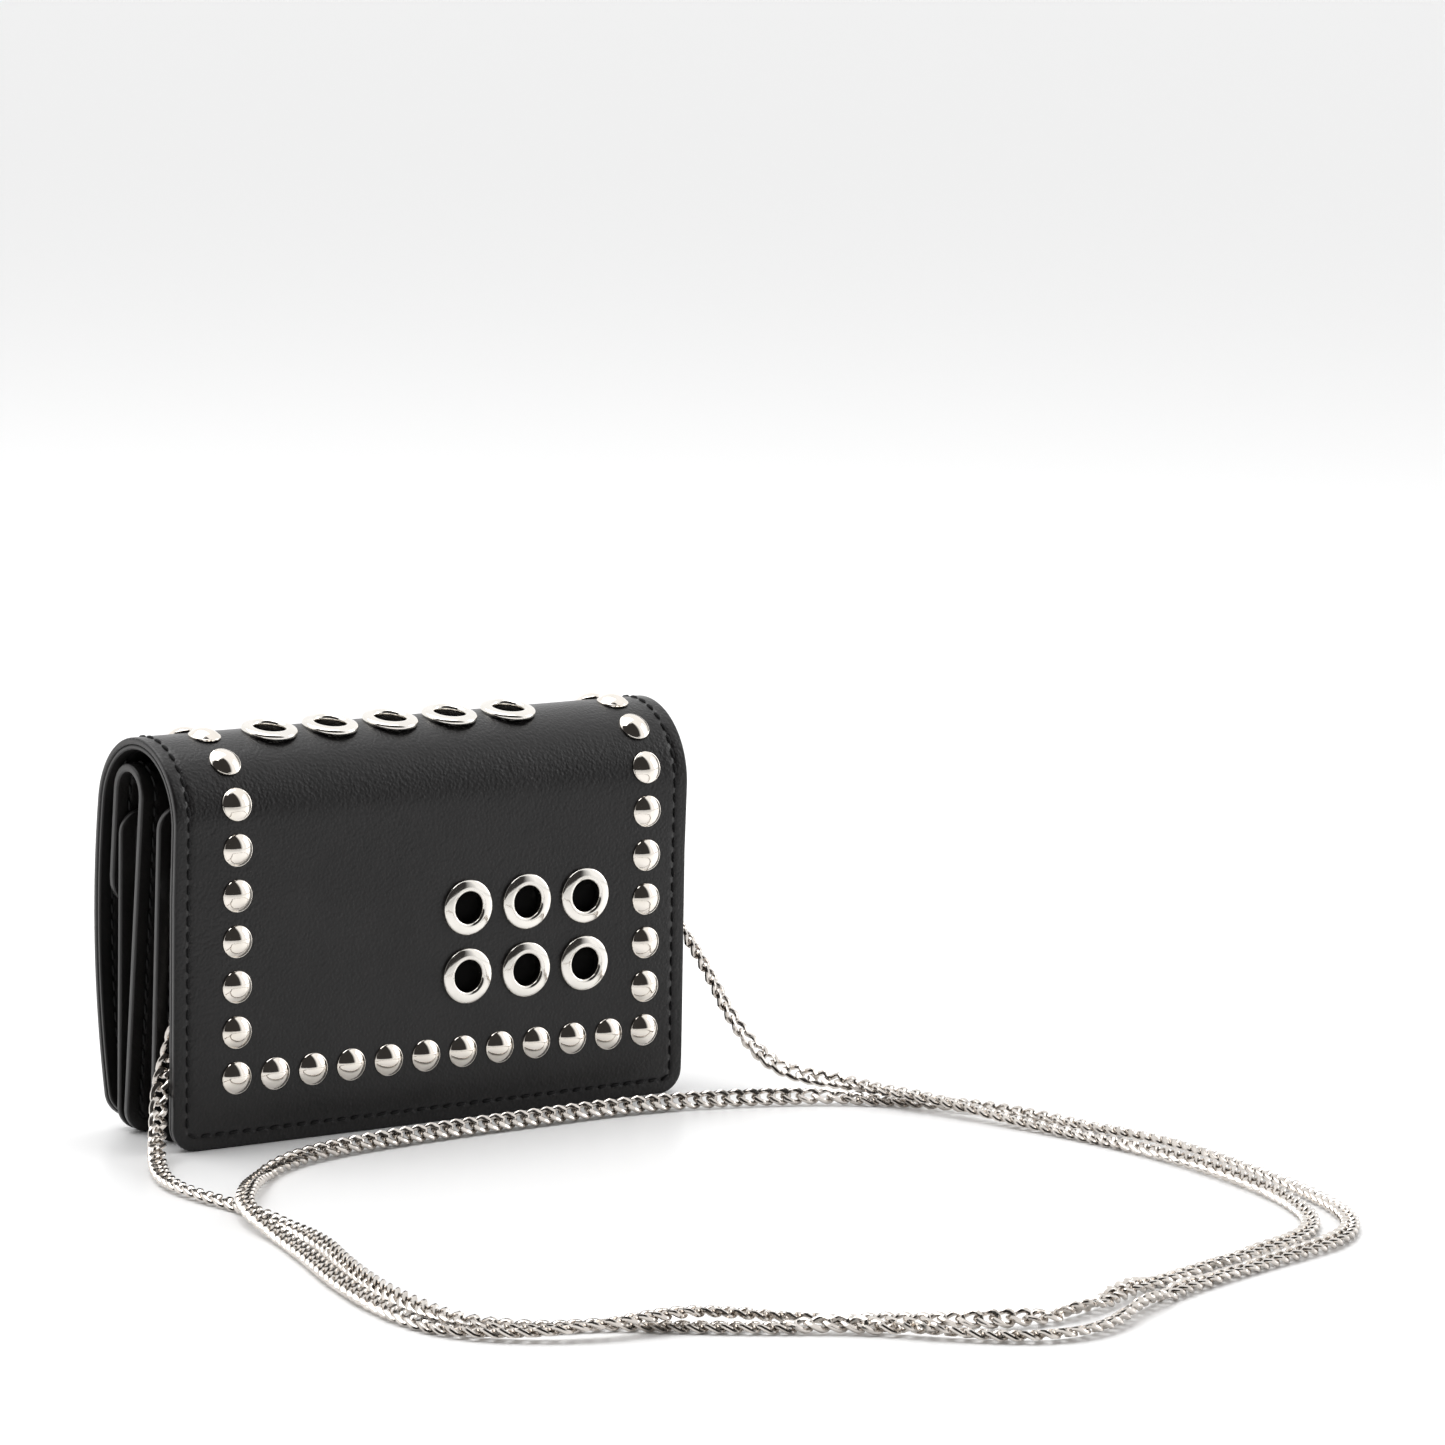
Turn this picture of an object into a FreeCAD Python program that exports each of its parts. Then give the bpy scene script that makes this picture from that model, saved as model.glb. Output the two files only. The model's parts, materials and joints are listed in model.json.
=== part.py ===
"""Chain wallet: a small studded flap wallet with accordion pockets and a long curb chain.

Frame: millimetres, +X along the wallet's width, +Y from the studded back panel to the flap,
+Z up. The origin is at the bottom centre of the wallet, between the back panel and the flap.
"Depth" below means the distance from the back panel's outer face towards the flap.
"""
import FreeCAD, Part
import math
import os

import Sketcher

Vector = FreeCAD.Vector
Rotation = FreeCAD.Rotation
Placement = FreeCAD.Placement

doc = FreeCAD.newDocument("ChainWallet")
sheet = doc.addObject("Spreadsheet::Sheet", "Sizes")


class Size:
    """A length or angle that knows both its number and its spreadsheet expression."""

    def __init__(self, text, number):
        self.text = text
        self.number = number

    def __add__(self, other):
        other = as_size(other)
        return Size(f"({self.text} + {other.text})", self.number + other.number)

    def __sub__(self, other):
        other = as_size(other)
        return Size(f"({self.text} - {other.text})", self.number - other.number)

    def __mul__(self, other):
        other = as_size(other)
        return Size(f"({self.text} * {other.text})", self.number * other.number)

    def __truediv__(self, other):
        other = as_size(other)
        return Size(f"({self.text} / {other.text})", self.number / other.number)

    def __neg__(self):
        return Size(f"(-1 * {self.text})", -self.number)


def as_size(value):
    return value if isinstance(value, Size) else Size(repr(value), value)


def cosine(angle):
    return Size(f"cos({angle.text} * 1 deg)", math.cos(math.radians(angle.number)))


def sine(angle):
    return Size(f"sin({angle.text} * 1 deg)", math.sin(math.radians(angle.number)))


def tangent(angle):
    return Size(f"tan({angle.text} * 1 deg)", math.tan(math.radians(angle.number)))


def arcsine(ratio):
    return Size(f"(asin({ratio.text}) / 1 deg)", math.degrees(math.asin(ratio.number)))


cell_row = 0


def cell(alias, number, note):
    """Write one driving dimension into the sheet and return it as a Size."""
    global cell_row
    cell_row += 1
    sheet.set(f"A{cell_row}", note)
    sheet.set(f"B{cell_row}", str(number))
    sheet.setAlias(f"B{cell_row}", alias)
    return Size(f"Sizes.{alias}", number)


# ---------------------------------------------------------------- driving dimensions
# Overall form
wallet_width = cell("wallet_width", 120, "width of the cover")
wallet_height = cell("wallet_height", 80.5, "height of the leather, studs left out")
arch_radius = cell("arch_radius", 16, "outer radius of the cover's rounded top")
flap_radius = cell("flap_radius", 161, "outer radius of the flap's gentle bow")
flap_splay = cell("flap_splay", 8, "degrees that the flap leans outwards where it leaves the arch")
flap_hem = cell("flap_hem", 2.1, "height of the flap's free edge")
corner_round = cell("corner_round", 5, "corner radius of the cover and the leaves")
crease_gap = cell("crease_gap", 0.3, "gap left at each crease of the cover")
# Leathers
cover_thick = cell("cover_thick", 1.4, "outer leather of the cover")
lining_thick = cell("lining_thick", 1.0, "lining of the cover")
facing_thick = cell("facing_thick", 1.0, "facing inside the back panel")
facing_drop = cell("facing_drop", 3.5, "facing's upper edge below the arch's foot")
lining_inset = cell("lining_inset", 0.2, "lining edge inside the cover edge")
# Studs and grommets
stud_radius = cell("stud_radius", 3.1, "radius of a stud")
stud_rim = cell("stud_rim", 0.35, "straight rim of a stud")
stud_height = cell("stud_height", 1.6, "height of a stud")
stud_first_x = cell("stud_first_x", 13.7, "first stud column from the left edge")
stud_last_x = cell("stud_last_x", 10.05, "last stud column from the right edge")
stud_first_z = cell("stud_first_z", 14, "lowest stud row from the bottom edge")
arch_first_stud = cell("arch_first_stud", 4.1, "first stud of the arch from its foot at the back")
arch_last_stud = cell("arch_last_stud", 7.5, "last stud of the arch from the flap's crease")
flap_last_stud = cell("flap_last_stud", 5.4, "highest stud of the flap from its crease")
grommet_radius = cell("grommet_radius", 5.7, "outer radius of a grommet")
grommet_hole = cell("grommet_hole", 3.2, "hole radius of a grommet")
grommet_wall = cell("grommet_wall", 0.6, "barrel wall of a grommet")
grommet_pitch = cell("grommet_pitch", 14, "spacing of the grommets")
grommet_last_x = cell("grommet_last_x", 25.1, "last panel grommet from the right edge")
grommet_first_z = cell("grommet_first_z", 29.4, "lower panel grommets from the bottom edge")
arch_grommet_x = cell("arch_grommet_x", 28.4, "first grommet of the arch from the left edge")
# Inner leaves: thickness, depth of the foot, lean towards the back, upper edge
side_inset = cell("side_inset", 0.75, "leaf edges inside the cover's side edges")
divider_thick = cell("divider_thick", 1.6, "divider leaf")
back_pocket_depth = cell("back_pocket_depth", 6.8, "clear depth of the back pocket at its foot")
divider_lean = cell("divider_lean", 2, "lean of the divider in degrees")
divider_rise = cell("divider_rise", 3.5, "divider's upper edge above the arch's foot")
front_thick = cell("front_thick", 2.2, "front panel")
coin_pocket_depth = cell("coin_pocket_depth", 0.7, "clear depth of the coin pocket at its foot")
front_top_back = cell("front_top_back", 0.04, "front panel's upper edge behind the arch's axis")
front_rise = cell("front_rise", 3.7, "front panel's upper edge above the arch's foot")
pocket_thick = cell("pocket_thick", 1.4, "coin pocket panel")
flap_rest_gap = cell("flap_rest_gap", 0.36, "flap's free edge off the coin pocket")
pocket_rise = cell("pocket_rise", 0.5, "coin pocket's upper edge above the arch's foot")
slip_thick = cell("slip_thick", 0.6, "card slip")
slip_foot = cell("slip_foot", 6, "height of the card slips' foot")
slip_step = cell("slip_step", 12, "step between the two card slips")
slip_height = cell("slip_height", 26, "height of the lower card slip")
slip_width = cell("slip_width", 89, "width of the card slips")
# Coin flap
coin_flap_thick = cell("coin_flap_thick", 1.6, "coin flap leather")
coin_arch_gap = cell("coin_arch_gap", 2.8, "front of the coin flap's arch off the cover's lining")
coin_flap_ease = cell("coin_flap_ease", 0.44, "coin flap off the coin pocket's upper edge")
coin_flap_splay = cell("coin_flap_splay", 5, "degrees that the coin flap leans outwards")
coin_flap_drop = cell("coin_flap_drop", 24.5, "length of the coin flap below its arch")
seat_gap = cell("seat_gap", 0.35, "gap between leathers of different moving bodies")
face_gap = cell("face_gap", 0.05, "gap under a flat piece that is glued to a leaning or bowed face")
# Gussets
gusset_seam = cell("gusset_seam", 10, "gusset seam from the side edge")
gusset_reach = cell("gusset_reach", 5, "gusset fold inside its seam")
gusset_thick = cell("gusset_thick", 0.8, "gusset leather")
gusset_foot = cell("gusset_foot", 5.5, "height of the gussets' foot")
gusset_drop = cell("gusset_drop", 10, "gussets shorter than the divider")
gusset_swell = cell("gusset_swell", 1.2, "how far a gusset's fold stands off its leaf")
base_strip_z = cell("base_strip_z", 3, "height of the pocket floors")
base_strip_thick = cell("base_strip_thick", 1.2, "thickness of the pocket floors")
# Snaps
snap_z = cell("snap_z", 22, "height of the flap's snap")
snap_post_radius = cell("snap_post_radius", 2.2, "post of the flap's snap")
snap_base_radius = cell("snap_base_radius", 5, "foot of the flap's snap")
snap_clearance = cell("snap_clearance", 0.9, "radial play of the snap sockets")
coin_snap_up = cell("coin_snap_up", 5.5, "coin flap's snap above the coin flap's free edge")
coin_snap_radius = cell("coin_snap_radius", 1.6, "post of the coin flap's snap")
snap_foot_thick = cell("snap_foot_thick", 0.4, "foot plate of the snaps")
snap_overlap = cell("snap_overlap", 0.3, "depth that a snap's post enters its socket")
# Chain hardware
ring_x = cell("ring_x", 6.4, "D-ring centre inside the side edge")
ring_drop = cell("ring_drop", 12.5, "D-ring's bar below the arch's foot")
ring_radius = cell("ring_radius", 3.8, "centreline radius of the D-ring")
ring_wire = cell("ring_wire", 0.8, "wire radius of the D-ring")
tab_edge_play = cell("tab_edge_play", 0.57, "leather tab's side edges inside the D-ring's bow")
tab_height = cell("tab_height", 12, "height of the tab above the D-ring's bar")
tab_leather = cell("tab_leather", 0.9, "leather of the tab")
tab_play = cell("tab_play", 0.05, "play of the D-ring's bar in its tab")
ring_stand = cell("ring_stand", 2.4, "D-ring's bar off the facing, which is the folded tab's thickness")
link_radius = cell("link_radius", 1.7, "centreline radius of the link ring")
link_tab_play = cell("link_tab_play", 0.2, "play between the link ring and the tab")
ring_play = cell("ring_play", 0.1, "play between linked rings")
chain_width = cell("chain_width", 3.8, "width of the flat curb chain")
doc.recompute()

# ---------------------------------------------------------------- sizes worked out
half_width = wallet_width / 2
leaf_width = wallet_width - side_inset * 2
shell_thick = cover_thick + lining_thick
stack_thick = shell_thick + facing_thick
arch_base = wallet_height - arch_radius
arch_sweep = as_size(180) - flap_splay
# Depth of the flap's bow centre, its height, and how deep the whole wallet is
crease_depth = arch_radius + arch_radius * cosine(flap_splay)
crease_height = arch_base + arch_radius * sine(flap_splay)
bow_depth = crease_depth - flap_radius * cosine(flap_splay)
bow_height = crease_height - flap_radius * sine(flap_splay)
overall_depth = bow_depth + flap_radius
centre_depth = overall_depth / 2
flap_tuck = arcsine((bow_height - flap_hem) / flap_radius)
flap_length = flap_radius * (flap_splay + flap_tuck) * (math.pi / 180) - crease_gap
arch_length = arch_radius * arch_sweep * (math.pi / 180)
# Studs and grommets
STUD_COLUMNS = 12
BACK_ROWS = 6
ARCH_ROWS = 5
FLAP_ROWS = 6
GROMMET_ROWS = 2
GROMMET_COLUMNS = 3
ARCH_GROMMETS = 5
ARCH_GROMMET_ROW = 2
stud_pitch = (wallet_width - stud_first_x - stud_last_x) / (STUD_COLUMNS - 1)
stud_rise = (arch_base + arch_first_stud - stud_first_z) / BACK_ROWS
arch_stud_pitch = (arch_length - arch_first_stud - arch_last_stud) / (ARCH_ROWS - 1)
flap_stud_rise = (flap_length - stud_first_z - flap_last_stud) / (FLAP_ROWS - 1)
# Leaves, from the back to the front
facing_height = arch_base - facing_drop
divider_height = arch_base + divider_rise
front_height = arch_base + front_rise
pocket_height = arch_base + pocket_rise
gusset_height = divider_height - gusset_drop
divider_foot = stack_thick + back_pocket_depth + divider_thick / 2
flap_hem_depth = bow_depth + (flap_radius - shell_thick) * cosine(flap_tuck)
pocket_foot = flap_hem_depth - flap_rest_gap - pocket_thick / 2
front_foot = pocket_foot - (pocket_thick + front_thick) / 2 - coin_pocket_depth
# Coin flap: its arch starts on the front panel's upper edge and ends behind the cover's arch
coin_root_depth = arch_radius - front_top_back
coin_front_depth = arch_radius * 2 - shell_thick - coin_arch_gap - coin_flap_thick / 2
coin_arch_radius = (coin_front_depth - coin_root_depth) / 2
pocket_top_depth = coin_front_depth - (pocket_thick + coin_flap_thick) / 2 - coin_flap_ease
front_lean = arcsine((front_foot - coin_root_depth) / front_height)
pocket_lean = arcsine((pocket_foot - pocket_top_depth) / pocket_height)
coin_arch_z = front_height * cosine(front_lean) + front_thick * sine(front_lean) + seat_gap
coin_arch_depth = coin_root_depth + coin_arch_radius
coin_leg_depth = coin_arch_depth + coin_arch_radius * cosine(coin_flap_splay)
coin_leg_z = coin_arch_z + coin_arch_radius * sine(coin_flap_splay)
coin_snap_z = coin_leg_z - coin_flap_drop * cosine(coin_flap_splay) + coin_snap_up
# Chain hardware: the tab and the link ring share the D-ring's inside
ring_z = arch_base - ring_drop
wrap_radius = tab_leather + ring_wire
ring_inside = ring_radius - ring_wire
tab_width = (ring_inside * cosine(arcsine(wrap_radius / ring_inside)) - tab_edge_play) * 2
link_wire = (ring_inside - wrap_radius - ring_play - link_tab_play) / 2


def at_depth(depth):
    """Row Y of a depth measured from the back panel's outer face."""
    return as_size(depth) - centre_depth


# ---------------------------------------------------------------- building helpers
nodes = []


def keep(obj, label):
    """Give an object the name of its node and list it for export."""
    obj.Label = label
    nodes.append(obj)
    return obj


def bind(obj, prop, size):
    obj.setExpression(prop, as_size(size).text)


def place(obj, x=0, y=0, z=0, turn=None):
    """Bind an object's position, and its turn about the X axis where one is given."""
    x, y, z = as_size(x), as_size(y), as_size(z)
    rotation = obj.Placement.Rotation
    if turn is not None:
        rotation = Rotation(Vector(1, 0, 0), as_size(turn).number)
    obj.Placement = Placement(Vector(x.number, y.number, z.number), rotation)
    bind(obj, ".Placement.Base.x", x)
    bind(obj, ".Placement.Base.y", y)
    bind(obj, ".Placement.Base.z", z)
    if turn is not None:
        bind(obj, ".Placement.Rotation.Angle", as_size(turn))
    return obj


def new_body(name):
    return doc.addObject("PartDesign::Body", name)


def origin_plane(body, role):
    for feature in body.Origin.OriginFeatures:
        if feature.Role == role:
            return feature
    raise RuntimeError(f"{body.Name} has no {role}")


def polygon_sketch(body, role, corners):
    """A closed outline whose corners are each held by two bound distances."""
    sketch = body.newObject("Sketcher::SketchObject", f"{body.Name}_outline")
    sketch.AttachmentSupport = [(origin_plane(body, role), "")]
    sketch.MapMode = "FlatFace"
    corners = [(as_size(across), as_size(up)) for across, up in corners]
    points = [Vector(across.number, up.number, 0) for across, up in corners]
    count = len(points)
    for index in range(count):
        sketch.addGeometry(Part.LineSegment(points[index], points[(index + 1) % count]), False)
    for index in range(count):
        sketch.addConstraint(Sketcher.Constraint("Coincident", index, 2, (index + 1) % count, 1))
    for index, (across, up) in enumerate(corners):
        for kind, size in (("DistanceX", across), ("DistanceY", up)):
            if abs(size.number) < 1e-9:
                on_axis = -2 if kind == "DistanceX" else -1
                sketch.addConstraint(Sketcher.Constraint("PointOnObject", index, 1, on_axis))
                continue
            number = sketch.addConstraint(
                Sketcher.Constraint(kind, -1, 1, index, 1, size.number))
            sketch.setExpression(f"Constraints[{number}]", size.text)
    return sketch


def pad(body, sketch, length, centred=False, backwards=False):
    feature = body.newObject("PartDesign::Pad", f"{body.Name}_pad")
    feature.Profile = sketch
    if centred:
        feature.SideType = "Symmetric"
    feature.Reversed = backwards
    bind(feature, "Length", length)
    sketch.Visibility = False
    doc.recompute()
    return feature


def round_corners(body, base, radius, wanted):
    """Fillet the edges of a body's last feature that the test function picks."""
    names = [f"Edge{number}" for number, edge in enumerate(base.Shape.Edges, 1) if wanted(edge)]
    fillet = body.newObject("PartDesign::Fillet", f"{body.Name}_corners")
    fillet.Base = (base, names)
    bind(fillet, "Radius", radius)
    doc.recompute()
    return fillet


def runs_along(edge, axis):
    """True for a straight edge parallel to the given axis."""
    first, last = edge.Vertexes[0].Point, edge.Vertexes[-1].Point
    along = last.sub(first)
    return along.Length > 1e-6 and abs(along.normalize().dot(axis)) > 0.999


def panel(label, width, height, thick, depth, foot, lean, round_top=True, centred=True):
    """A flat leather panel with rounded corners, standing on its lower edge."""
    body = new_body(label)
    half = width / 2
    sketch = polygon_sketch(body, "XZ_Plane", [(-half, 0), (half, 0), (half, height), (-half, height)])
    base = pad(body, sketch, thick, centred=centred, backwards=True)
    top = height.number - 0.01

    def corner(edge):
        low = edge.Vertexes[0].Point.z
        return runs_along(edge, Vector(0, 1, 0)) and (round_top or low < top)

    round_corners(body, base, corner_round, corner)
    place(body, 0, at_depth(depth), foot, lean)
    return keep(body, label)


def block(name, length, width, height, x, y, z, turn=None):
    """A Part box that is centred on x."""
    box = doc.addObject("Part::Box", name)
    bind(box, "Length", length)
    bind(box, "Width", width)
    bind(box, "Height", height)
    return place(box, as_size(x) - as_size(length) / 2, y, z, turn)


def rod(name, radius, height, x, y, z, turn=None):
    """A Part cylinder along Z, turned about X where a turn is given."""
    cylinder = doc.addObject("Part::Cylinder", name)
    bind(cylinder, "Radius", radius)
    bind(cylinder, "Height", height)
    return place(cylinder, x, y, z, turn)


def cut(name, base, tool):
    result = doc.addObject("Part::Cut", name)
    result.Base = base
    result.Tool = tool
    return result


def fuse(name, shapes):
    result = doc.addObject("Part::MultiFuse", name)
    result.Shapes = shapes
    return result


# A sector of a tube along the width. Its axis is -X, and it starts at -Y and climbs over +Z.
OVER_THE_TOP = Rotation(Vector(0, -1, 0), Vector(0, 0, 1), Vector(-1, 0, 0), "ZXY")
# The same with its start at +Y, sweeping downwards.
DOWN_THE_FRONT = Rotation(Vector(0, 1, 0), Vector(0, 0, -1), Vector(-1, 0, 0), "ZXY")


def tube_sector(name, outer, inner, width, sweep, rotation, depth, height):
    """The part of a tube that lies between two radii and within one sweep."""
    pieces = []
    for suffix, radius, spare in (("outer", outer, 0), ("inner", inner, 1)):
        cylinder = doc.addObject("Part::Cylinder", f"{name}_{suffix}")
        bind(cylinder, "Radius", radius)
        bind(cylinder, "Height", width + spare * 2)
        if suffix == "outer":
            bind(cylinder, "Angle", sweep)
        cylinder.Placement = Placement(Vector(0, 0, 0), rotation)
        place(cylinder, width / 2 + spare, depth, height)
        pieces.append(cylinder)
    return cut(name, pieces[0], pieces[1])


def copies(label, master, placements):
    """A node that groups separate copies of one solid."""
    doc.recompute()
    group = doc.addObject("Part::Feature", label)
    group.Shape = Part.makeCompound([master.Shape.transformed(spot.toMatrix()) for spot in placements])
    return keep(group, label)


# ---------------------------------------------------------------- places along the width
def column_x(column):
    return stud_first_x + stud_pitch * column - half_width


def panel_grommet_x(column):
    return half_width - grommet_last_x - grommet_pitch * (GROMMET_COLUMNS - 1 - column)


def arch_grommet_place(column):
    return arch_grommet_x + grommet_pitch * column - half_width


def arch_stud_angle(row):
    """Degrees along the arch, from its foot on the back panel, of a stud row."""
    return (arch_first_stud + arch_stud_pitch * row) / arch_radius * (180 / math.pi)


# ---------------------------------------------------------------- back panel
def build_back_panel():
    """The studded back: outer leather with six holes, its lining and its facing."""
    height = arch_base - crease_gap
    blank = panel("back_leather_blank", wallet_width, height, cover_thick, 0, 0, 0,
                  round_top=False, centred=False)
    nodes.remove(blank)
    holes = []
    for row in range(GROMMET_ROWS):
        for column in range(GROMMET_COLUMNS):
            holes.append(rod(
                f"back_hole_{row}{column}", grommet_hole + grommet_wall, cover_thick + 2,
                panel_grommet_x(column), at_depth(-1),
                grommet_first_z + grommet_pitch * row, -90))
    keep(cut("back_leather_cut", blank, fuse("back_holes", holes)), "back_leather")
    panel("back_lining", wallet_width - lining_inset * 2, height - lining_inset, lining_thick,
          cover_thick, lining_inset, 0, round_top=False, centred=False)
    panel("back_facing", leaf_width, facing_height, facing_thick, shell_thick, side_inset, 0,
          centred=False)


# ---------------------------------------------------------------- arch and flap
def build_spine():
    """The rounded top of the cover, with five holes for grommets."""
    depth = at_depth(arch_radius)
    shell = tube_sector("spine_shell", arch_radius, arch_radius - cover_thick, wallet_width,
                        arch_sweep, OVER_THE_TOP, depth, arch_base)
    holes = [rod(f"spine_hole_{column}", grommet_hole + grommet_wall, arch_radius + 2,
                 arch_grommet_place(column), depth, arch_base,
                 as_size(90) - arch_stud_angle(ARCH_GROMMET_ROW))
             for column in range(ARCH_GROMMETS)]
    keep(cut("spine_cut", shell, fuse("spine_holes", holes)), "spine_leather")
    keep(tube_sector("spine_lining", arch_radius - cover_thick, arch_radius - shell_thick,
                     wallet_width - lining_inset * 2, arch_sweep, OVER_THE_TOP, depth, arch_base),
         "spine_lining")


def build_flap():
    """The gently bowed flap, in outer leather and lining, with rounded lower corners."""
    gap_angle = crease_gap / flap_radius * (180 / math.pi)
    for label, outer, inner, inset in (
            ("flap_leather", flap_radius, flap_radius - cover_thick, as_size(0)),
            ("flap_lining", flap_radius - cover_thick, flap_radius - shell_thick, lining_inset)):
        trim = inset / flap_radius * (180 / math.pi)
        sweep = flap_splay + flap_tuck - gap_angle - trim
        shell = tube_sector(f"{label}_shell", outer, inner, wallet_width - inset * 2,
                            sweep, DOWN_THE_FRONT, 0, 0)
        doc.recompute()
        corners = [number for number, edge in enumerate(shell.Shape.Edges, 1)
                   if edge.Length < cover_thick.number + 1 and edge.CenterOfMass.z < -1]
        fillet = doc.addObject("Part::Fillet", f"{label}_corners")
        fillet.Base = shell
        fillet.Edges = [(number, corner_round.number, corner_round.number) for number in corners]
        place(fillet, 0, at_depth(bow_depth), bow_height, flap_splay - gap_angle)
        keep(fillet, label)


# ---------------------------------------------------------------- studs and grommets
def build_stud_master():
    """One domed stud that stands on the XY plane."""
    dome_height = stud_height - stud_rim
    dome_radius = (stud_radius * stud_radius + dome_height * dome_height) / (dome_height * 2)
    ball = doc.addObject("Part::Sphere", "stud_ball")
    bind(ball, "Radius", dome_radius)
    place(ball, 0, 0, stud_height - dome_radius)
    core = rod("stud_core", stud_radius, stud_height, 0, 0, 0)
    stud = doc.addObject("Part::Common", "stud_master")
    stud.Base = core
    stud.Tool = ball
    return stud


def build_grommet_master():
    """One grommet: a domed flange on the XY plane and a barrel through the leather below it."""
    bead = (grommet_radius - grommet_hole) / 2
    ring = doc.addObject("Part::Torus", "grommet_bead")
    bind(ring, "Radius1", grommet_hole + bead)
    bind(ring, "Radius2", bead)
    above = rod("grommet_above", grommet_radius + 1, bead + 1, 0, 0, 0)
    flange = doc.addObject("Part::Common", "grommet_flange")
    flange.Base = ring
    flange.Tool = above
    barrel = rod("grommet_barrel", grommet_hole + grommet_wall, cover_thick + bead / 2,
                 0, 0, -cover_thick)
    solid = fuse("grommet_solid", [flange, barrel])
    bore = rod("grommet_bore", grommet_hole, cover_thick * 2 + bead * 2 + 2, 0, 0,
               -cover_thick - 1)
    return cut("grommet_master", solid, bore)


def on_back(x, z):
    """Seat on the back panel's outer face, facing -Y."""
    return Placement(Vector(x.number, at_depth(0).number, z.number),
                     Rotation(Vector(1, 0, 0), 90))


def on_arch(x, angle):
    """Seat on the arch's outer face, facing outwards."""
    turned = math.radians(angle.number)
    radius = arch_radius.number
    seat = Vector(x.number, at_depth(arch_radius).number - radius * math.cos(turned),
                  arch_base.number + radius * math.sin(turned))
    return Placement(seat, Rotation(Vector(1, 0, 0), 90 - angle.number))


def on_flap(x, from_edge):
    """Seat on the flap's outer face, a given length up from its free edge."""
    radius = flap_radius.number
    below = flap_tuck.number - math.degrees(from_edge.number / radius)
    turned = math.radians(below)
    seat = Vector(x.number, at_depth(bow_depth).number + radius * math.cos(turned),
                  bow_height.number - radius * math.sin(turned))
    return Placement(seat, Rotation(Vector(1, 0, 0), -90 - below))


def build_studs_and_grommets():
    """The studs run along the bottom and up both sides of the panel, the arch and the flap."""
    stud = build_stud_master()
    grommet = build_grommet_master()
    sides = (0, STUD_COLUMNS - 1)
    back = [on_back(column_x(column), stud_first_z) for column in range(STUD_COLUMNS)]
    back += [on_back(column_x(side), stud_first_z + stud_rise * row)
             for side in sides for row in range(1, BACK_ROWS)]
    copies("back_studs", stud, back)
    copies("spine_studs", stud, [on_arch(column_x(side), arch_stud_angle(row))
                                 for side in sides for row in range(ARCH_ROWS)])
    flap = [on_flap(column_x(column), stud_first_z) for column in range(STUD_COLUMNS)]
    flap += [on_flap(column_x(side), stud_first_z + flap_stud_rise * row)
             for side in sides for row in range(1, FLAP_ROWS)]
    copies("flap_studs", stud, flap)
    copies("back_grommets", grommet,
           [on_back(panel_grommet_x(column), grommet_first_z + grommet_pitch * row)
            for row in range(GROMMET_ROWS) for column in range(GROMMET_COLUMNS)])
    copies("spine_grommets", grommet,
           [on_arch(arch_grommet_place(column), arch_stud_angle(ARCH_GROMMET_ROW))
            for column in range(ARCH_GROMMETS)])


# ---------------------------------------------------------------- inner leaves
def leaf_foot(thick, lean):
    """Height of a leaning leaf's middle that puts its lowest corner on the ground."""
    return thick / 2 * sine(lean)


def leaf_side(foot, lean, height, offset):
    """Depth of a leaning leaf's plane, offset from its middle, at a height."""
    return foot - tangent(lean) * height + offset / cosine(lean)


def build_leaves():
    """The divider, the front panel and the coin pocket that is sewn to it."""
    panel("divider_leaf", leaf_width, divider_height, divider_thick, divider_foot,
          leaf_foot(divider_thick, divider_lean), divider_lean)
    panel("front_panel", leaf_width, front_height, front_thick, front_foot,
          leaf_foot(front_thick, front_lean), front_lean)
    panel("coin_pocket_panel", leaf_width, pocket_height, pocket_thick, pocket_foot,
          leaf_foot(pocket_thick, pocket_lean), pocket_lean)


def lay_on_leaf(body, foot, thick, lean):
    """Place a body in the frame of a leaning leaf, with the leaf's middle at its origin."""
    return place(body, 0, at_depth(foot), leaf_foot(thick, lean), lean)


def build_card_slips():
    """Two stepped card slips on the divider's front face; the lower one lies outermost."""
    for label, rank, height in (("card_slip_high", 0, slip_height + slip_step),
                                ("card_slip_low", 1, slip_height)):
        body = new_body(label)
        near = divider_thick / 2 + slip_thick * rank
        sketch = polygon_sketch(body, "YZ_Plane", [
            (near, slip_foot), (near + slip_thick, slip_foot),
            (near + slip_thick, slip_foot + height), (near, slip_foot + height)])
        pad(body, sketch, slip_width, centred=True)
        lay_on_leaf(body, divider_foot, divider_thick, divider_lean)
        keep(body, label)


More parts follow.
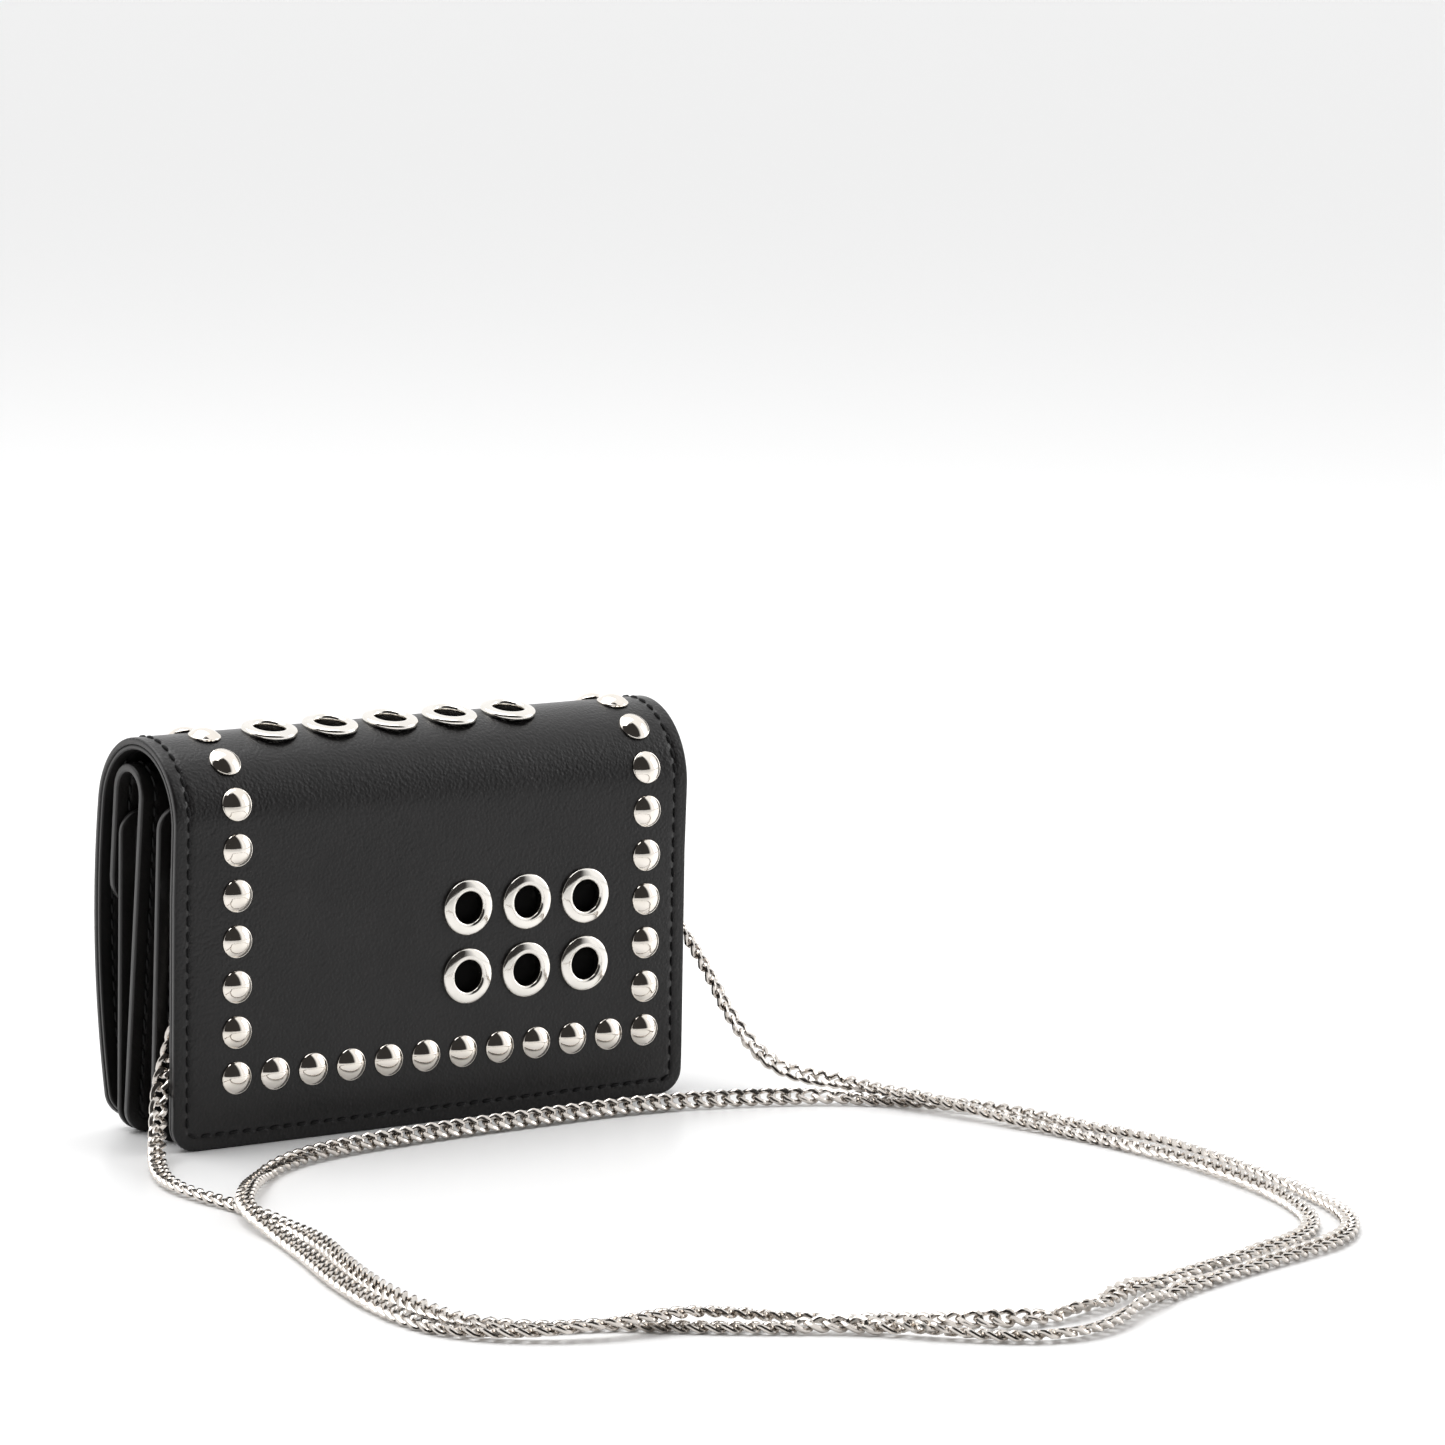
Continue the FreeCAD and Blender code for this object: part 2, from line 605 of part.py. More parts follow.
def build_gussets():
    """Each gusset is two strips that stand off their leaves and face each other at a fold."""
    seam = half_width - gusset_seam
    fold = seam - gusset_reach
    homes = {
        "back_gusset": (stack_thick, 1, None),
        "divider_gusset_back": (-divider_thick / 2, -1,
                                (divider_foot, divider_thick, divider_lean)),
        "divider_gusset_front": (divider_thick / 2, 1,
                                 (divider_foot, divider_thick, divider_lean)),
        "front_gusset": (-front_thick / 2, -1, (front_foot, front_thick, front_lean)),
    }
    for name, (face, way, leaf) in homes.items():
        for side, sign in (("left", -1), ("right", 1)):
            body = new_body(f"{name}_{side}")
            sketch = polygon_sketch(body, "XY_Plane", [
                (seam * sign, face), (seam * sign, face + gusset_thick * way),
                (fold * sign, face + (gusset_thick + gusset_swell) * way),
                (fold * sign, face + gusset_swell * way)])
            pad(body, sketch, gusset_height)
            if leaf is None:
                place(body, 0, at_depth(0), gusset_foot)
            else:
                foot, thick, lean = leaf
                place(body, 0, at_depth(foot - sine(lean) * gusset_foot),
                      leaf_foot(thick, lean) + cosine(lean) * gusset_foot, lean)
            keep(body, f"{name}_{side}")


def build_pocket_floors():
    """Leather strips that close the bottoms of the two accordion pockets."""
    middle = base_strip_z + base_strip_thick / 2
    back_end = leaf_side(divider_foot, divider_lean, middle, -divider_thick / 2) - seat_gap
    keep(block("pocket_floor_back", leaf_width - corner_round * 2, back_end - stack_thick,
               base_strip_thick, 0, at_depth(stack_thick), base_strip_z), "pocket_floor_back")
    front_start = leaf_side(divider_foot, divider_lean, middle, divider_thick / 2) + face_gap
    front_end = leaf_side(front_foot, front_lean, middle, -front_thick / 2) - seat_gap
    keep(block("pocket_floor_front", leaf_width - corner_round * 2, front_end - front_start,
               base_strip_thick, 0, at_depth(front_start), base_strip_z), "pocket_floor_front")


def build_coin_pocket_sides():
    """Thin wedges that close the coin pocket's sides, between the front panel and the pocket."""
    low = corner_round + 1
    high = pocket_height - corner_round - 1
    thick = gusset_thick
    for side, sign in (("left", -1), ("right", 1)):
        label = f"coin_pocket_side_{side}"
        body = new_body(label)
        outline = []
        for height, near in ((low, True), (low, False), (high, False), (high, True)):
            if near:
                depth = leaf_side(front_foot, front_lean, height, front_thick / 2) + face_gap
            else:
                depth = leaf_side(pocket_foot, pocket_lean, height, -pocket_thick / 2) - face_gap
            outline.append((at_depth(depth), height))
        sketch = polygon_sketch(body, "YZ_Plane", outline)
        pad(body, sketch, thick, backwards=(sign < 0))
        place(body, (half_width - gusset_seam / 2) * sign)
        keep(body, label)


def build_coin_flap():
    """The short inner flap: a tight arch over the coin pocket and a leg down its front."""
    thick = coin_flap_thick
    outer = coin_arch_radius + thick / 2
    arch = tube_sector("coin_flap_arch", outer, outer - thick, leaf_width,
                       as_size(180) - coin_flap_splay, OVER_THE_TOP,
                       at_depth(coin_arch_depth), coin_arch_z)
    leg = new_body("coin_flap_leg")
    half = leaf_width / 2
    sketch = polygon_sketch(leg, "XZ_Plane", [
        (-half, 0), (half, 0), (half, -coin_flap_drop), (-half, -coin_flap_drop)])
    base = pad(leg, sketch, thick, centred=True)
    lower = -coin_flap_drop.number / 2
    round_corners(leg, base, corner_round * 1.2,
                  lambda edge: runs_along(edge, Vector(0, 1, 0)) and edge.CenterOfMass.z < lower)
    place(leg, 0, at_depth(coin_leg_depth), coin_leg_z, coin_flap_splay)
    keep(fuse("coin_flap_solid", [arch, leg]), "coin_flap")


# ---------------------------------------------------------------- snaps
def snap_stud(label, post_radius, base_radius, height, depth, z, lean):
    """A press stud's post on its round foot, standing off a leaf towards +Y."""
    turn = lean - 90
    foot = rod(f"{label}_foot", base_radius, snap_foot_thick, 0, at_depth(depth), z, turn)
    post = rod(f"{label}_post", post_radius, height, 0, at_depth(depth), z, turn)
    keep(fuse(f"{label}_solid", [foot, post]), label)


def snap_socket(label, post_radius, base_radius, thick, depth, z, turn):
    """A press stud's ring-shaped socket, standing off a leather's inner face."""
    ring = rod(f"{label}_ring", base_radius, thick, 0, at_depth(depth), z, turn)
    bore = rod(f"{label}_bore", post_radius + snap_clearance, thick * 4, 0, at_depth(depth), z, turn)
    keep(cut(f"{label}_solid", ring, bore), label)


def build_snaps():
    """The flap closes on the coin pocket, and the coin flap closes above it."""
    face = leaf_side(pocket_foot, pocket_lean, snap_z, pocket_thick / 2) + face_gap
    lining_radius = flap_radius - shell_thick
    drop_angle = arcsine((bow_height - snap_z) / lining_radius)
    bow_under_snap = snap_base_radius * snap_base_radius / lining_radius / 2
    flap_face = bow_depth + lining_radius * cosine(drop_angle) - bow_under_snap - face_gap
    span = flap_face - face
    post_height = span / 2 + snap_overlap
    snap_stud("snap_post", snap_post_radius, snap_base_radius, post_height, face, snap_z, pocket_lean)
    snap_socket("snap_socket", snap_post_radius, snap_base_radius, span / 2, flap_face, snap_z,
                as_size(90) - drop_angle)
    coin_face = leaf_side(pocket_foot, pocket_lean, coin_snap_z, pocket_thick / 2) + face_gap
    leg_face = (coin_leg_depth + tangent(coin_flap_splay) * (coin_leg_z - coin_snap_z)
                - coin_flap_thick / 2 / cosine(coin_flap_splay))
    coin_span = leg_face - coin_face
    snap_stud("coin_snap_post", coin_snap_radius, coin_snap_radius * 2.5,
              coin_span / 2 + snap_overlap, coin_face, coin_snap_z, pocket_lean)
    snap_socket("coin_snap_socket", coin_snap_radius, coin_snap_radius * 2.5, coin_span / 2,
                leg_face, coin_snap_z, as_size(90) + coin_flap_splay)


# ---------------------------------------------------------------- chain hardware
def build_chain_anchors():
    """At each side a leather tab holds a D-ring, and a link ring joins it to the chain."""
    depth = stack_thick + ring_stand
    for side, sign in (("left", -1), ("right", 1)):
        x = (half_width - ring_x) * sign
        wrap = doc.addObject("Part::Cylinder", f"tab_wrap_{side}")
        bind(wrap, "Radius", wrap_radius)
        bind(wrap, "Height", tab_width)
        wrap.Placement = Placement(Vector(0, 0, 0), Rotation(Vector(0, 1, 0), 90))
        place(wrap, x - tab_width / 2, at_depth(depth), ring_z)
        strap = block(f"tab_strap_{side}", tab_width, ring_stand, tab_height, x,
                      at_depth(stack_thick), ring_z)
        hole = doc.addObject("Part::Cylinder", f"tab_hole_{side}")
        bind(hole, "Radius", ring_wire + tab_play)
        bind(hole, "Height", tab_width + 2)
        hole.Placement = Placement(Vector(0, 0, 0), Rotation(Vector(0, 1, 0), 90))
        place(hole, x - tab_width / 2 - 1, at_depth(depth), ring_z)
        keep(cut(f"tab_{side}", fuse(f"tab_solid_{side}", [wrap, strap]), hole), f"ring_tab_{side}")
        bar = doc.addObject("Part::Cylinder", f"ring_bar_{side}")
        bind(bar, "Radius", ring_wire)
        bind(bar, "Height", ring_radius * 2)
        bar.Placement = Placement(Vector(0, 0, 0), Rotation(Vector(0, 1, 0), 90))
        place(bar, x - ring_radius, at_depth(depth), ring_z)
        bow = doc.addObject("Part::Torus", f"ring_bow_{side}")
        bind(bow, "Radius1", ring_radius)
        bind(bow, "Radius2", ring_wire)
        bow.Angle3 = 180
        bow.Placement = Placement(Vector(0, 0, 0), Rotation(Vector(1, 0, 0), -90))
        place(bow, x, at_depth(depth), ring_z)
        keep(fuse(f"ring_{side}", [bar, bow]), f"d_ring_{side}")
        link = doc.addObject("Part::Torus", f"link_{side}")
        bind(link, "Radius1", link_radius)
        bind(link, "Radius2", link_wire)
        link.Placement = Placement(Vector(0, 0, 0), Rotation(Vector(0, 1, 0), 90))
        place(link, x, at_depth(depth), link_height())
        keep(link, f"link_ring_{side}")


def link_height():
    """Height of the link ring's centre: it hangs on the D-ring's lowest wire."""
    return ring_z - ring_radius + ring_wire + link_wire + ring_play - link_radius


# ---------------------------------------------------------------- chain
LAY = 1.9       # height of the chain's centreline where it lies flat
HUMP = 6.6      # height of the centreline where the chain passes over itself
CHAIN_ROUTE = [
    # down from the left gusset to the ground
    (-53.6, -10.9, 45.6), (-54.6, -10.9, 33), (-59.4, -10.9, 22.8), (-64, -12.9, 11.4),
    (-68, -21.5, 3.8), (-73, -33, LAY),
    # first lap: out to the front, along it, round the right end and back
    (-76, -49, LAY), (-72.5, -70, LAY), (-76, -97, LAY), (-85, -126, LAY), (-88.5, -149, LAY),
    (-86, -164, LAY), (-75, -172.5, LAY), (-63, -176, LAY), (-53, -184.5, LAY),
    (-40, -193, LAY), (-26, -201, LAY), (-14, -214.5, LAY), (-1, -224, LAY), (12, -223, LAY),
    (25, -214, LAY), (46, -205, LAY), (70, -199, LAY), (90, -192.5, LAY), (102, -179, LAY),
    (108, -158, LAY), (111, -132, LAY), (112, -106, LAY), (106, -82, LAY), (99, -62, LAY),
    (86, -46, LAY), (66, -36, LAY), (42, -29.5, LAY), (14, -30, LAY), (-12, -31, LAY),
    (-37, -33.5, LAY), (-54, -41, LAY),
    # over the first strand and out again for the second lap
    (-65, -53.5, 4), (-70.3, -60.5, HUMP), (-75.5, -68, HUMP), (-79.5, -77, 4),
    (-83, -90, LAY), (-87.5, -107, LAY), (-93.5, -128, LAY), (-96, -150, LAY),
    (-92.5, -170, LAY), (-80, -183, LAY),
    # over the first lap at the front
    (-66.5, -183.5, 4), (-59, -181.5, HUMP), (-50.5, -181, HUMP), (-42.5, -183.5, 4),
    (-29, -189, LAY), (-14, -197, LAY), (-1, -207, LAY), (15, -209, LAY), (36, -199.5, LAY),
    (60, -193, LAY), (80, -188, LAY), (92, -178.5, LAY), (99, -163, LAY), (103, -144, LAY),
    (105.5, -122, LAY), (104.5, -100, LAY), (99, -79, LAY),
    # over the first lap again, then up to the right gusset
    (94, -64, 4), (90, -54, HUMP), (86.5, -44.5, HUMP), (82.5, -35, 5), (77.3, -26.5, 8.2),
    (71, -19, 15.5), (65, -13.4, 25), (58.6, -10.9, 35), (53.6, -10.9, 45.6),
]


def corner_arc(before, corner, after):
    """Where the rounding of a route's corner starts, its middle, its end and its radius."""
    back = before.sub(corner)
    ahead = after.sub(corner)
    shorter = min(back.Length, ahead.Length)
    back.normalize()
    ahead.normalize()
    half_turn = (math.pi - back.getAngle(ahead)) / 2
    reach = 0.45 * shorter
    radius = reach / math.tan(half_turn)
    start = corner.add(back * reach)
    end = corner.add(ahead * reach)
    inward = back.add(ahead)
    inward.normalize()
    middle = corner.add(inward * (radius / math.cos(half_turn) - radius))
    return start, middle, end, radius, radius * half_turn * 2


def build_chain():
    """The chain's envelope: straight runs joined by arcs that are tangent to both."""
    points = [Vector(*point) for point in CHAIN_ROUTE]
    edges = []
    length = 0
    radii = []
    last = points[0]
    for before, corner, after in zip(points, points[1:], points[2:]):
        start, middle, end, radius, arc_length = corner_arc(before, corner, after)
        edges.append(Part.LineSegment(last, start).toShape())
        edges.append(Part.Arc(start, middle, end).toShape())
        length += last.distanceToPoint(start) + arc_length
        radii.append(radius)
        last = end
    edges.append(Part.LineSegment(last, points[-1]).toShape())
    length += last.distanceToPoint(points[-1])
    path = Part.Wire(edges)
    tube_radius = chain_width.number / 2
    heading = points[1].sub(points[0])
    section = Part.Wire([Part.makeCircle(tube_radius, points[0], heading)])
    chain = doc.addObject("Part::Feature", "chain")
    chain.Shape = path.makePipeShell([section], True, False)
    expected = math.pi * tube_radius ** 2 * length
    print("chain bend radii:", " ".join(f"{radius:.1f}" for radius in radii))
    print(f"chain length {length:.0f}, volume {chain.Shape.Volume:.0f}, expected {expected:.0f}")
    return keep(chain, "chain")


# ---------------------------------------------------------------- build and export
build_back_panel()
build_spine()
build_flap()
build_studs_and_grommets()
build_leaves()
build_card_slips()
build_gussets()
build_pocket_floors()
build_coin_pocket_sides()
build_coin_flap()
build_snaps()
build_chain_anchors()
build_chain()
doc.recompute()

for obj in doc.Objects:
    if "Invalid" in obj.State or "Error" in obj.State:
        raise RuntimeError(f"{obj.Label} did not compute: {obj.State}")
os.makedirs("parts", exist_ok=True)
for node in nodes:
    if node.Shape.isNull() or not node.Shape.isValid() or not node.Shape.Solids:
        raise RuntimeError(f"{node.Label} has no valid solid")
for node in nodes:
    node.Shape.exportStep(f"parts/{node.Label}.step")
print(len(nodes), "nodes written")
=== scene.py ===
"""Chain wallet: the looks. Lengths are in millimetres until a mesh is made, which turns them to metres."""
import json
import math

import bmesh
import bpy
import numpy as np
from mathutils import Matrix, Vector


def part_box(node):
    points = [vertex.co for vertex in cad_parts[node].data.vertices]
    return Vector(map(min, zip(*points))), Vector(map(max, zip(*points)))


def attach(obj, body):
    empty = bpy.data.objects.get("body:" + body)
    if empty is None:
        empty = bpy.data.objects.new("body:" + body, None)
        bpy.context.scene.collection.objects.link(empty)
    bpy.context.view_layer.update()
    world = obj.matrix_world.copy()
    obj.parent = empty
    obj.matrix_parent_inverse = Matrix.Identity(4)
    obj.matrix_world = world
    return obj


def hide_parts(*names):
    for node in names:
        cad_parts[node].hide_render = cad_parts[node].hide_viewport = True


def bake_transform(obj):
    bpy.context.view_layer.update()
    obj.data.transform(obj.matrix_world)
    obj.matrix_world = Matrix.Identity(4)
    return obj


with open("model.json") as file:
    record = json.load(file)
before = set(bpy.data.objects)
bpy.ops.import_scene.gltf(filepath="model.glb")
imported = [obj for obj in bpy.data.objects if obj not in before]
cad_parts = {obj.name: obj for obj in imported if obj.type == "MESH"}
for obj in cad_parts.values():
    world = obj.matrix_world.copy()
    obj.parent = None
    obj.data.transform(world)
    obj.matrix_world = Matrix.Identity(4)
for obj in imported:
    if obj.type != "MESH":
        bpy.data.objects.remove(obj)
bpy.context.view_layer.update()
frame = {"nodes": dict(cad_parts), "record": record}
BODY_OF = {node: body for body, nodes in frame["record"]["behaviour"]["bodies"].items() for node in nodes}
MM = 0.001


def node_box(node):
    """A CAD node's lowest and highest corners, in millimetres."""
    low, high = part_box(node)
    return np.array(low) / MM, np.array(high) / MM


# ---- sizes, from the frame where it has them
BACK_LOW, BACK_HIGH = node_box("back_leather")
SPINE_LOW, SPINE_HIGH = node_box("spine_leather")
BACK_FACE = BACK_LOW[1]  # the studded panel's outer face
HALF_WIDTH = BACK_HIGH[0]
ARCH_BASE = SPINE_LOW[2]
ARCH_RADIUS = SPINE_HIGH[2] - ARCH_BASE
ARCH_Y = BACK_FACE + ARCH_RADIUS
FLAP_SPLAY = math.radians(8)
ARCH_SWEEP = math.pi - FLAP_SPLAY
ARCH_LENGTH = ARCH_RADIUS * ARCH_SWEEP
FLAP_RADIUS = 161
FLAP_HEM = node_box("flap_leather")[0][2]
CREASE_Y = ARCH_Y + ARCH_RADIUS * math.cos(FLAP_SPLAY)
CREASE_Z = ARCH_BASE + ARCH_RADIUS * math.sin(FLAP_SPLAY)
BOW_Y = CREASE_Y - FLAP_RADIUS * math.cos(FLAP_SPLAY)
BOW_Z = CREASE_Z - FLAP_RADIUS * math.sin(FLAP_SPLAY)
FLAP_TUCK = math.asin((BOW_Z - FLAP_HEM) / FLAP_RADIUS)
COVER_LENGTH = ARCH_BASE + ARCH_LENGTH + FLAP_RADIUS * (FLAP_SPLAY + FLAP_TUCK)
COVER_THICK = 1.4
LINING_THICK = 1.0
CORNER = 5.0
SEAM = 3.0  # stitching inside every edge
STITCH_PITCH = 3.1
SPLIT = ARCH_BASE + 36  # where the cover's rear and front pieces butt, on the arch


# ---- materials
def new_material(name, base, metallic=0.0, roughness=0.5):
    mat = bpy.data.materials.new(name)
    mat.use_nodes = True
    shader = mat.node_tree.nodes["Principled BSDF"]
    shader.inputs["Base Color"].default_value = (*base, 1)
    shader.inputs["Metallic"].default_value = metallic
    shader.inputs["Roughness"].default_value = roughness
    return mat, mat.node_tree, shader


def add(tree, kind, **values):
    """A new node with some of its inputs set."""
    node = tree.nodes.new(kind)
    for key, value in values.items():
        node.inputs[key.replace("_", " ")].default_value = value
    return node


def object_coordinates(tree):
    return tree.nodes.new("ShaderNodeTexCoord").outputs["Object"]


def ramp(tree, source, low, high, dark, light):
    """Colours from dark to light as the source runs from low to high."""
    node = tree.nodes.new("ShaderNodeValToRGB")
    node.color_ramp.elements[0].position = low
    node.color_ramp.elements[0].color = (*dark, 1)
    node.color_ramp.elements[1].position = high
    node.color_ramp.elements[1].color = (*light, 1)
    tree.links.new(source, node.inputs["Fac"])
    return node.outputs["Color"]


def spread(tree, source, low, high):
    """A number from low to high as the source runs over its usual range."""
    node = tree.nodes.new("ShaderNodeMapRange")
    node.inputs["From Min"].default_value = 0.3
    node.inputs["From Max"].default_value = 0.7
    node.inputs["To Min"].default_value = low
    node.inputs["To Max"].default_value = high
    tree.links.new(source, node.inputs["Value"])
    return node.outputs["Result"]


def bump(tree, height, distance, strength, under=None):
    node = add(tree, "ShaderNodeBump", Strength=strength, Distance=distance * MM)
    tree.links.new(height, node.inputs["Height"])
    if under is not None:
        tree.links.new(under, node.inputs["Normal"])
    return node.outputs["Normal"]


def noise(tree, where, **values):
    """How strong a noise texture over the given coordinates is."""
    node = add(tree, "ShaderNodeTexNoise", **values)
    tree.links.new(where, node.inputs["Vector"])
    return node.outputs["Fac"]


def feed(tree, shader, **sources):
    """Link each source to the shader's input of that name."""
    for key, source in sources.items():
        tree.links.new(source, shader.inputs[key.replace("_", " ")])


def leather_material(name, dark, light, grain, rough, depth=0.05, coat=0.12):
    """Pebbled leather: cells of the given size, finer pores, soft creases and a patchy polish."""
    mat, tree, shader = new_material(name, dark)
    where = object_coordinates(tree)
    warp = add(tree, "ShaderNodeTexNoise", Scale=260.0, Detail=2.0)
    tree.links.new(where, warp.inputs["Vector"])
    shift = tree.nodes.new("ShaderNodeVectorMath")
    shift.operation = "MULTIPLY_ADD"
    shift.inputs[1].default_value = (0.0006, 0.0006, 0.0006)
    tree.links.new(warp.outputs["Color"], shift.inputs[0])
    tree.links.new(where, shift.inputs[2])
    cells = add(tree, "ShaderNodeTexVoronoi", Scale=1000.0 / grain)
    cells.feature = "SMOOTH_F1"
    tree.links.new(shift.outputs[0], cells.inputs["Vector"])
    pores = noise(tree, where, Scale=2600.0 / grain, Detail=3.0)
    creases = noise(tree, where, Scale=55.0, Detail=5.0, Roughness=0.6)
    patches = noise(tree, where, Scale=90.0, Detail=3.0)
    normal = bump(tree, creases, 0.35, 0.25)
    normal = bump(tree, cells.outputs["Distance"], -depth, 0.55, normal)
    normal = bump(tree, pores, depth * 0.5, 0.4, normal)
    feed(tree, shader, Base_Color=ramp(tree, patches, 0.35, 0.7, dark, light),
         Roughness=spread(tree, creases, rough - 0.05, rough + 0.07), Normal=normal)
    shader.inputs["Specular IOR Level"].default_value = 0.3
    shader.inputs["Coat Weight"].default_value = coat
    shader.inputs["Coat Roughness"].default_value = 0.28
    return mat


def edge_material(name, dark, light, rough, gloss=0.5):
    """Painted leather edge: smooth, slightly wavy and a little glossier than the grain side."""
    mat, tree, shader = new_material(name, dark)
    waves = noise(tree, object_coordinates(tree), Scale=420.0, Detail=3.0)
    feed(tree, shader, Base_Color=ramp(tree, waves, 0.3, 0.75, dark, light),
         Roughness=spread(tree, waves, rough - 0.06, rough + 0.08), Normal=bump(tree, waves, 0.08, 0.4))
    shader.inputs["Specular IOR Level"].default_value = gloss
    return mat


def thread_material():
    """Matt black thread with fine fibres."""
    mat, tree, shader = new_material("black_thread", (0.006, 0.006, 0.0065), roughness=0.62)
    fibres = noise(tree, object_coordinates(tree), Scale=5200.0, Detail=2.0)
    colour = ramp(tree, fibres, 0.3, 0.7, (0.004, 0.004, 0.0045), (0.014, 0.0135, 0.014))
    feed(tree, shader, Base_Color=colour, Normal=bump(tree, fibres, 0.05, 0.6))
    shader.inputs["Specular IOR Level"].default_value = 0.25
    return mat


def metal_material(name, tone, tarnish, rough):
    """Plated metal: faint clouding in colour and polish, with fine handling marks."""
    mat, tree, shader = new_material(name, tone, metallic=1.0)
    where = object_coordinates(tree)
    clouds = noise(tree, where, Scale=300.0, Detail=4.0)
    marks = noise(tree, where, Scale=2400.0, Detail=2.0)
    feed(tree, shader, Base_Color=ramp(tree, clouds, 0.35, 0.65, tarnish, tone),
         Roughness=spread(tree, clouds, rough * 0.7, rough * 1.4), Normal=bump(tree, marks, 0.02, 0.15))
    return mat


COVER = leather_material("cover_leather", (0.0062, 0.0057, 0.0059), (0.0105, 0.0096, 0.0099), 0.62, 0.35,
                         depth=0.19)
LINING = leather_material("lining_leather", (0.008, 0.0075, 0.0074), (0.013, 0.012, 0.0118), 0.8, 0.5,
                          depth=0.03, coat=0.0)
INNER = leather_material("inner_leather", (0.011, 0.0101, 0.0099), (0.017, 0.0156, 0.0152), 0.7, 0.4,
                         depth=0.07)
GUSSET = leather_material("gusset_leather", (0.010, 0.0092, 0.009), (0.015, 0.0138, 0.0135), 0.55, 0.45,
                          coat=0.0)
EDGE = edge_material("edge_paint", (0.017, 0.0158, 0.0154), (0.031, 0.0288, 0.028), 0.34)
THREAD = thread_material()
# painted shade: a near-black paint for the discs in the eyelet holes, standing in for the shade inside them
EYELET_SHADE = edge_material("painted_eyelet_shade", (0.0016, 0.0015, 0.0015), (0.003, 0.0028, 0.0028), 0.8, gloss=0.08)
NICKEL = metal_material("stud_metal", (0.84, 0.79, 0.73), (0.78, 0.73, 0.66), 0.06)
EYELET = metal_material("grommet_metal", (0.83, 0.80, 0.75), (0.77, 0.74, 0.69), 0.08)
RING = metal_material("ring_metal", (0.86, 0.85, 0.83), (0.78, 0.77, 0.75), 0.12)
SNAP = metal_material("snap_metal", (0.8, 0.8, 0.79), (0.7, 0.7, 0.69), 0.22)
STEEL = metal_material("chain_steel", (0.71, 0.665, 0.62), (0.55, 0.51, 0.47), 0.16)
SLOTS = {"cover_leather": COVER, "lining_leather": LINING, "inner_leather": INNER, "gusset_leather": GUSSET,
         "stud_metal": NICKEL, "grommet_metal": EYELET, "ring_metal": RING, "snap_metal": SNAP,
         "chain_steel": STEEL}


# ---- meshes
def place_object(name, data):
    """A new object in the scene."""
    made = bpy.data.objects.new(name, data)
    bpy.context.scene.collection.objects.link(made)
    return made


def make_piece(name, points, faces, materials, marks=None, sharp=40):
    """An object from points in millimetres. Marks gives each face's place in the materials."""
    mesh = bpy.data.meshes.new(name)
    mesh.from_pydata((np.asarray(points, float) * MM).tolist(), [], [list(map(int, f)) for f in faces])
    for mat in materials:
        mesh.materials.append(mat)
    if marks is not None:
        mesh.polygons.foreach_set("material_index", np.asarray(marks, np.int32))
    mesh.validate()
    shell = bmesh.new()
    shell.from_mesh(mesh)
    bmesh.ops.recalc_face_normals(shell, faces=shell.faces)
    shell.to_mesh(mesh)
    shell.free()
    mesh.shade_smooth()
    mesh.set_sharp_from_angle(angle=math.radians(sharp))
    return place_object(name, mesh)


class Parts:
    """Points and faces gathered from many copies, for one mesh."""

    def __init__(self):
        self.points = []
        self.faces = []
        self.count = 0

    def add(self, points, faces):
        self.points.append(np.asarray(points, float))
        self.faces.extend([[i + self.count for i in face] for face in faces])
        self.count += len(points)

    def piece(self, name, materials, sharp=40):
        return make_piece(name, np.vstack(self.points), self.faces, materials, None, sharp)


def grid_faces(rows, columns, start=0, flip=False, wrap=False):
    """Quads over a grid of points, closed across its columns where wrap is set."""
    faces = []
    last = columns if wrap else columns - 1
    for row in range(rows - 1):
        for column in range(last):
            beside = (column + 1) % columns
            here = start + row * columns
            there = here + columns
            quad = [here + column, here + beside, there + beside, there + column]
            faces.append(quad[:1] + quad[:0:-1] if flip else quad)
    return faces


def ring_faces(rows, columns):
    """Quads over a grid that is closed both ways, as round a torus."""
    faces = grid_faces(rows, columns, wrap=True)
    base = (rows - 1) * columns
    for column in range(columns):
        beside = (column + 1) % columns
        faces.append([base + column, base + beside, beside, column])
    return faces


def rim_faces(rows, columns):
    """Quads that join the outlines of two equal grids of points, listed one after the other."""
    rim = list(range(columns)) + [row * columns + columns - 1 for row in range(1, rows)]
    rim += [(rows - 1) * columns + column for column in range(columns - 2, -1, -1)]
    rim += [row * columns for row in range(rows - 2, 0, -1)]
    count = rows * columns
    return [[there, here, here + count, there + count] for here, there in zip(rim, rim[1:] + rim[:1])]


def hand_over(piece, body, slot, *nodes):
    """Say what carries a piece and which CAD nodes it replaces; the slot it is given is not used."""
    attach(piece, body)
    if nodes:
        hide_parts(*nodes)


def unit(vectors):
    return vectors / np.linalg.norm(vectors, axis=-1, keepdims=True)


def travelled(line):
    """The distance along a line at each of its points."""
    return np.concatenate([[0], np.cumsum(np.linalg.norm(np.diff(line, axis=0), axis=1))])


def sample(places, distance, values):
    """Rows of values, each known at a distance along a line, interpolated at places along it."""
    return np.stack([np.interp(places, distance, column) for column in values.T], -1)


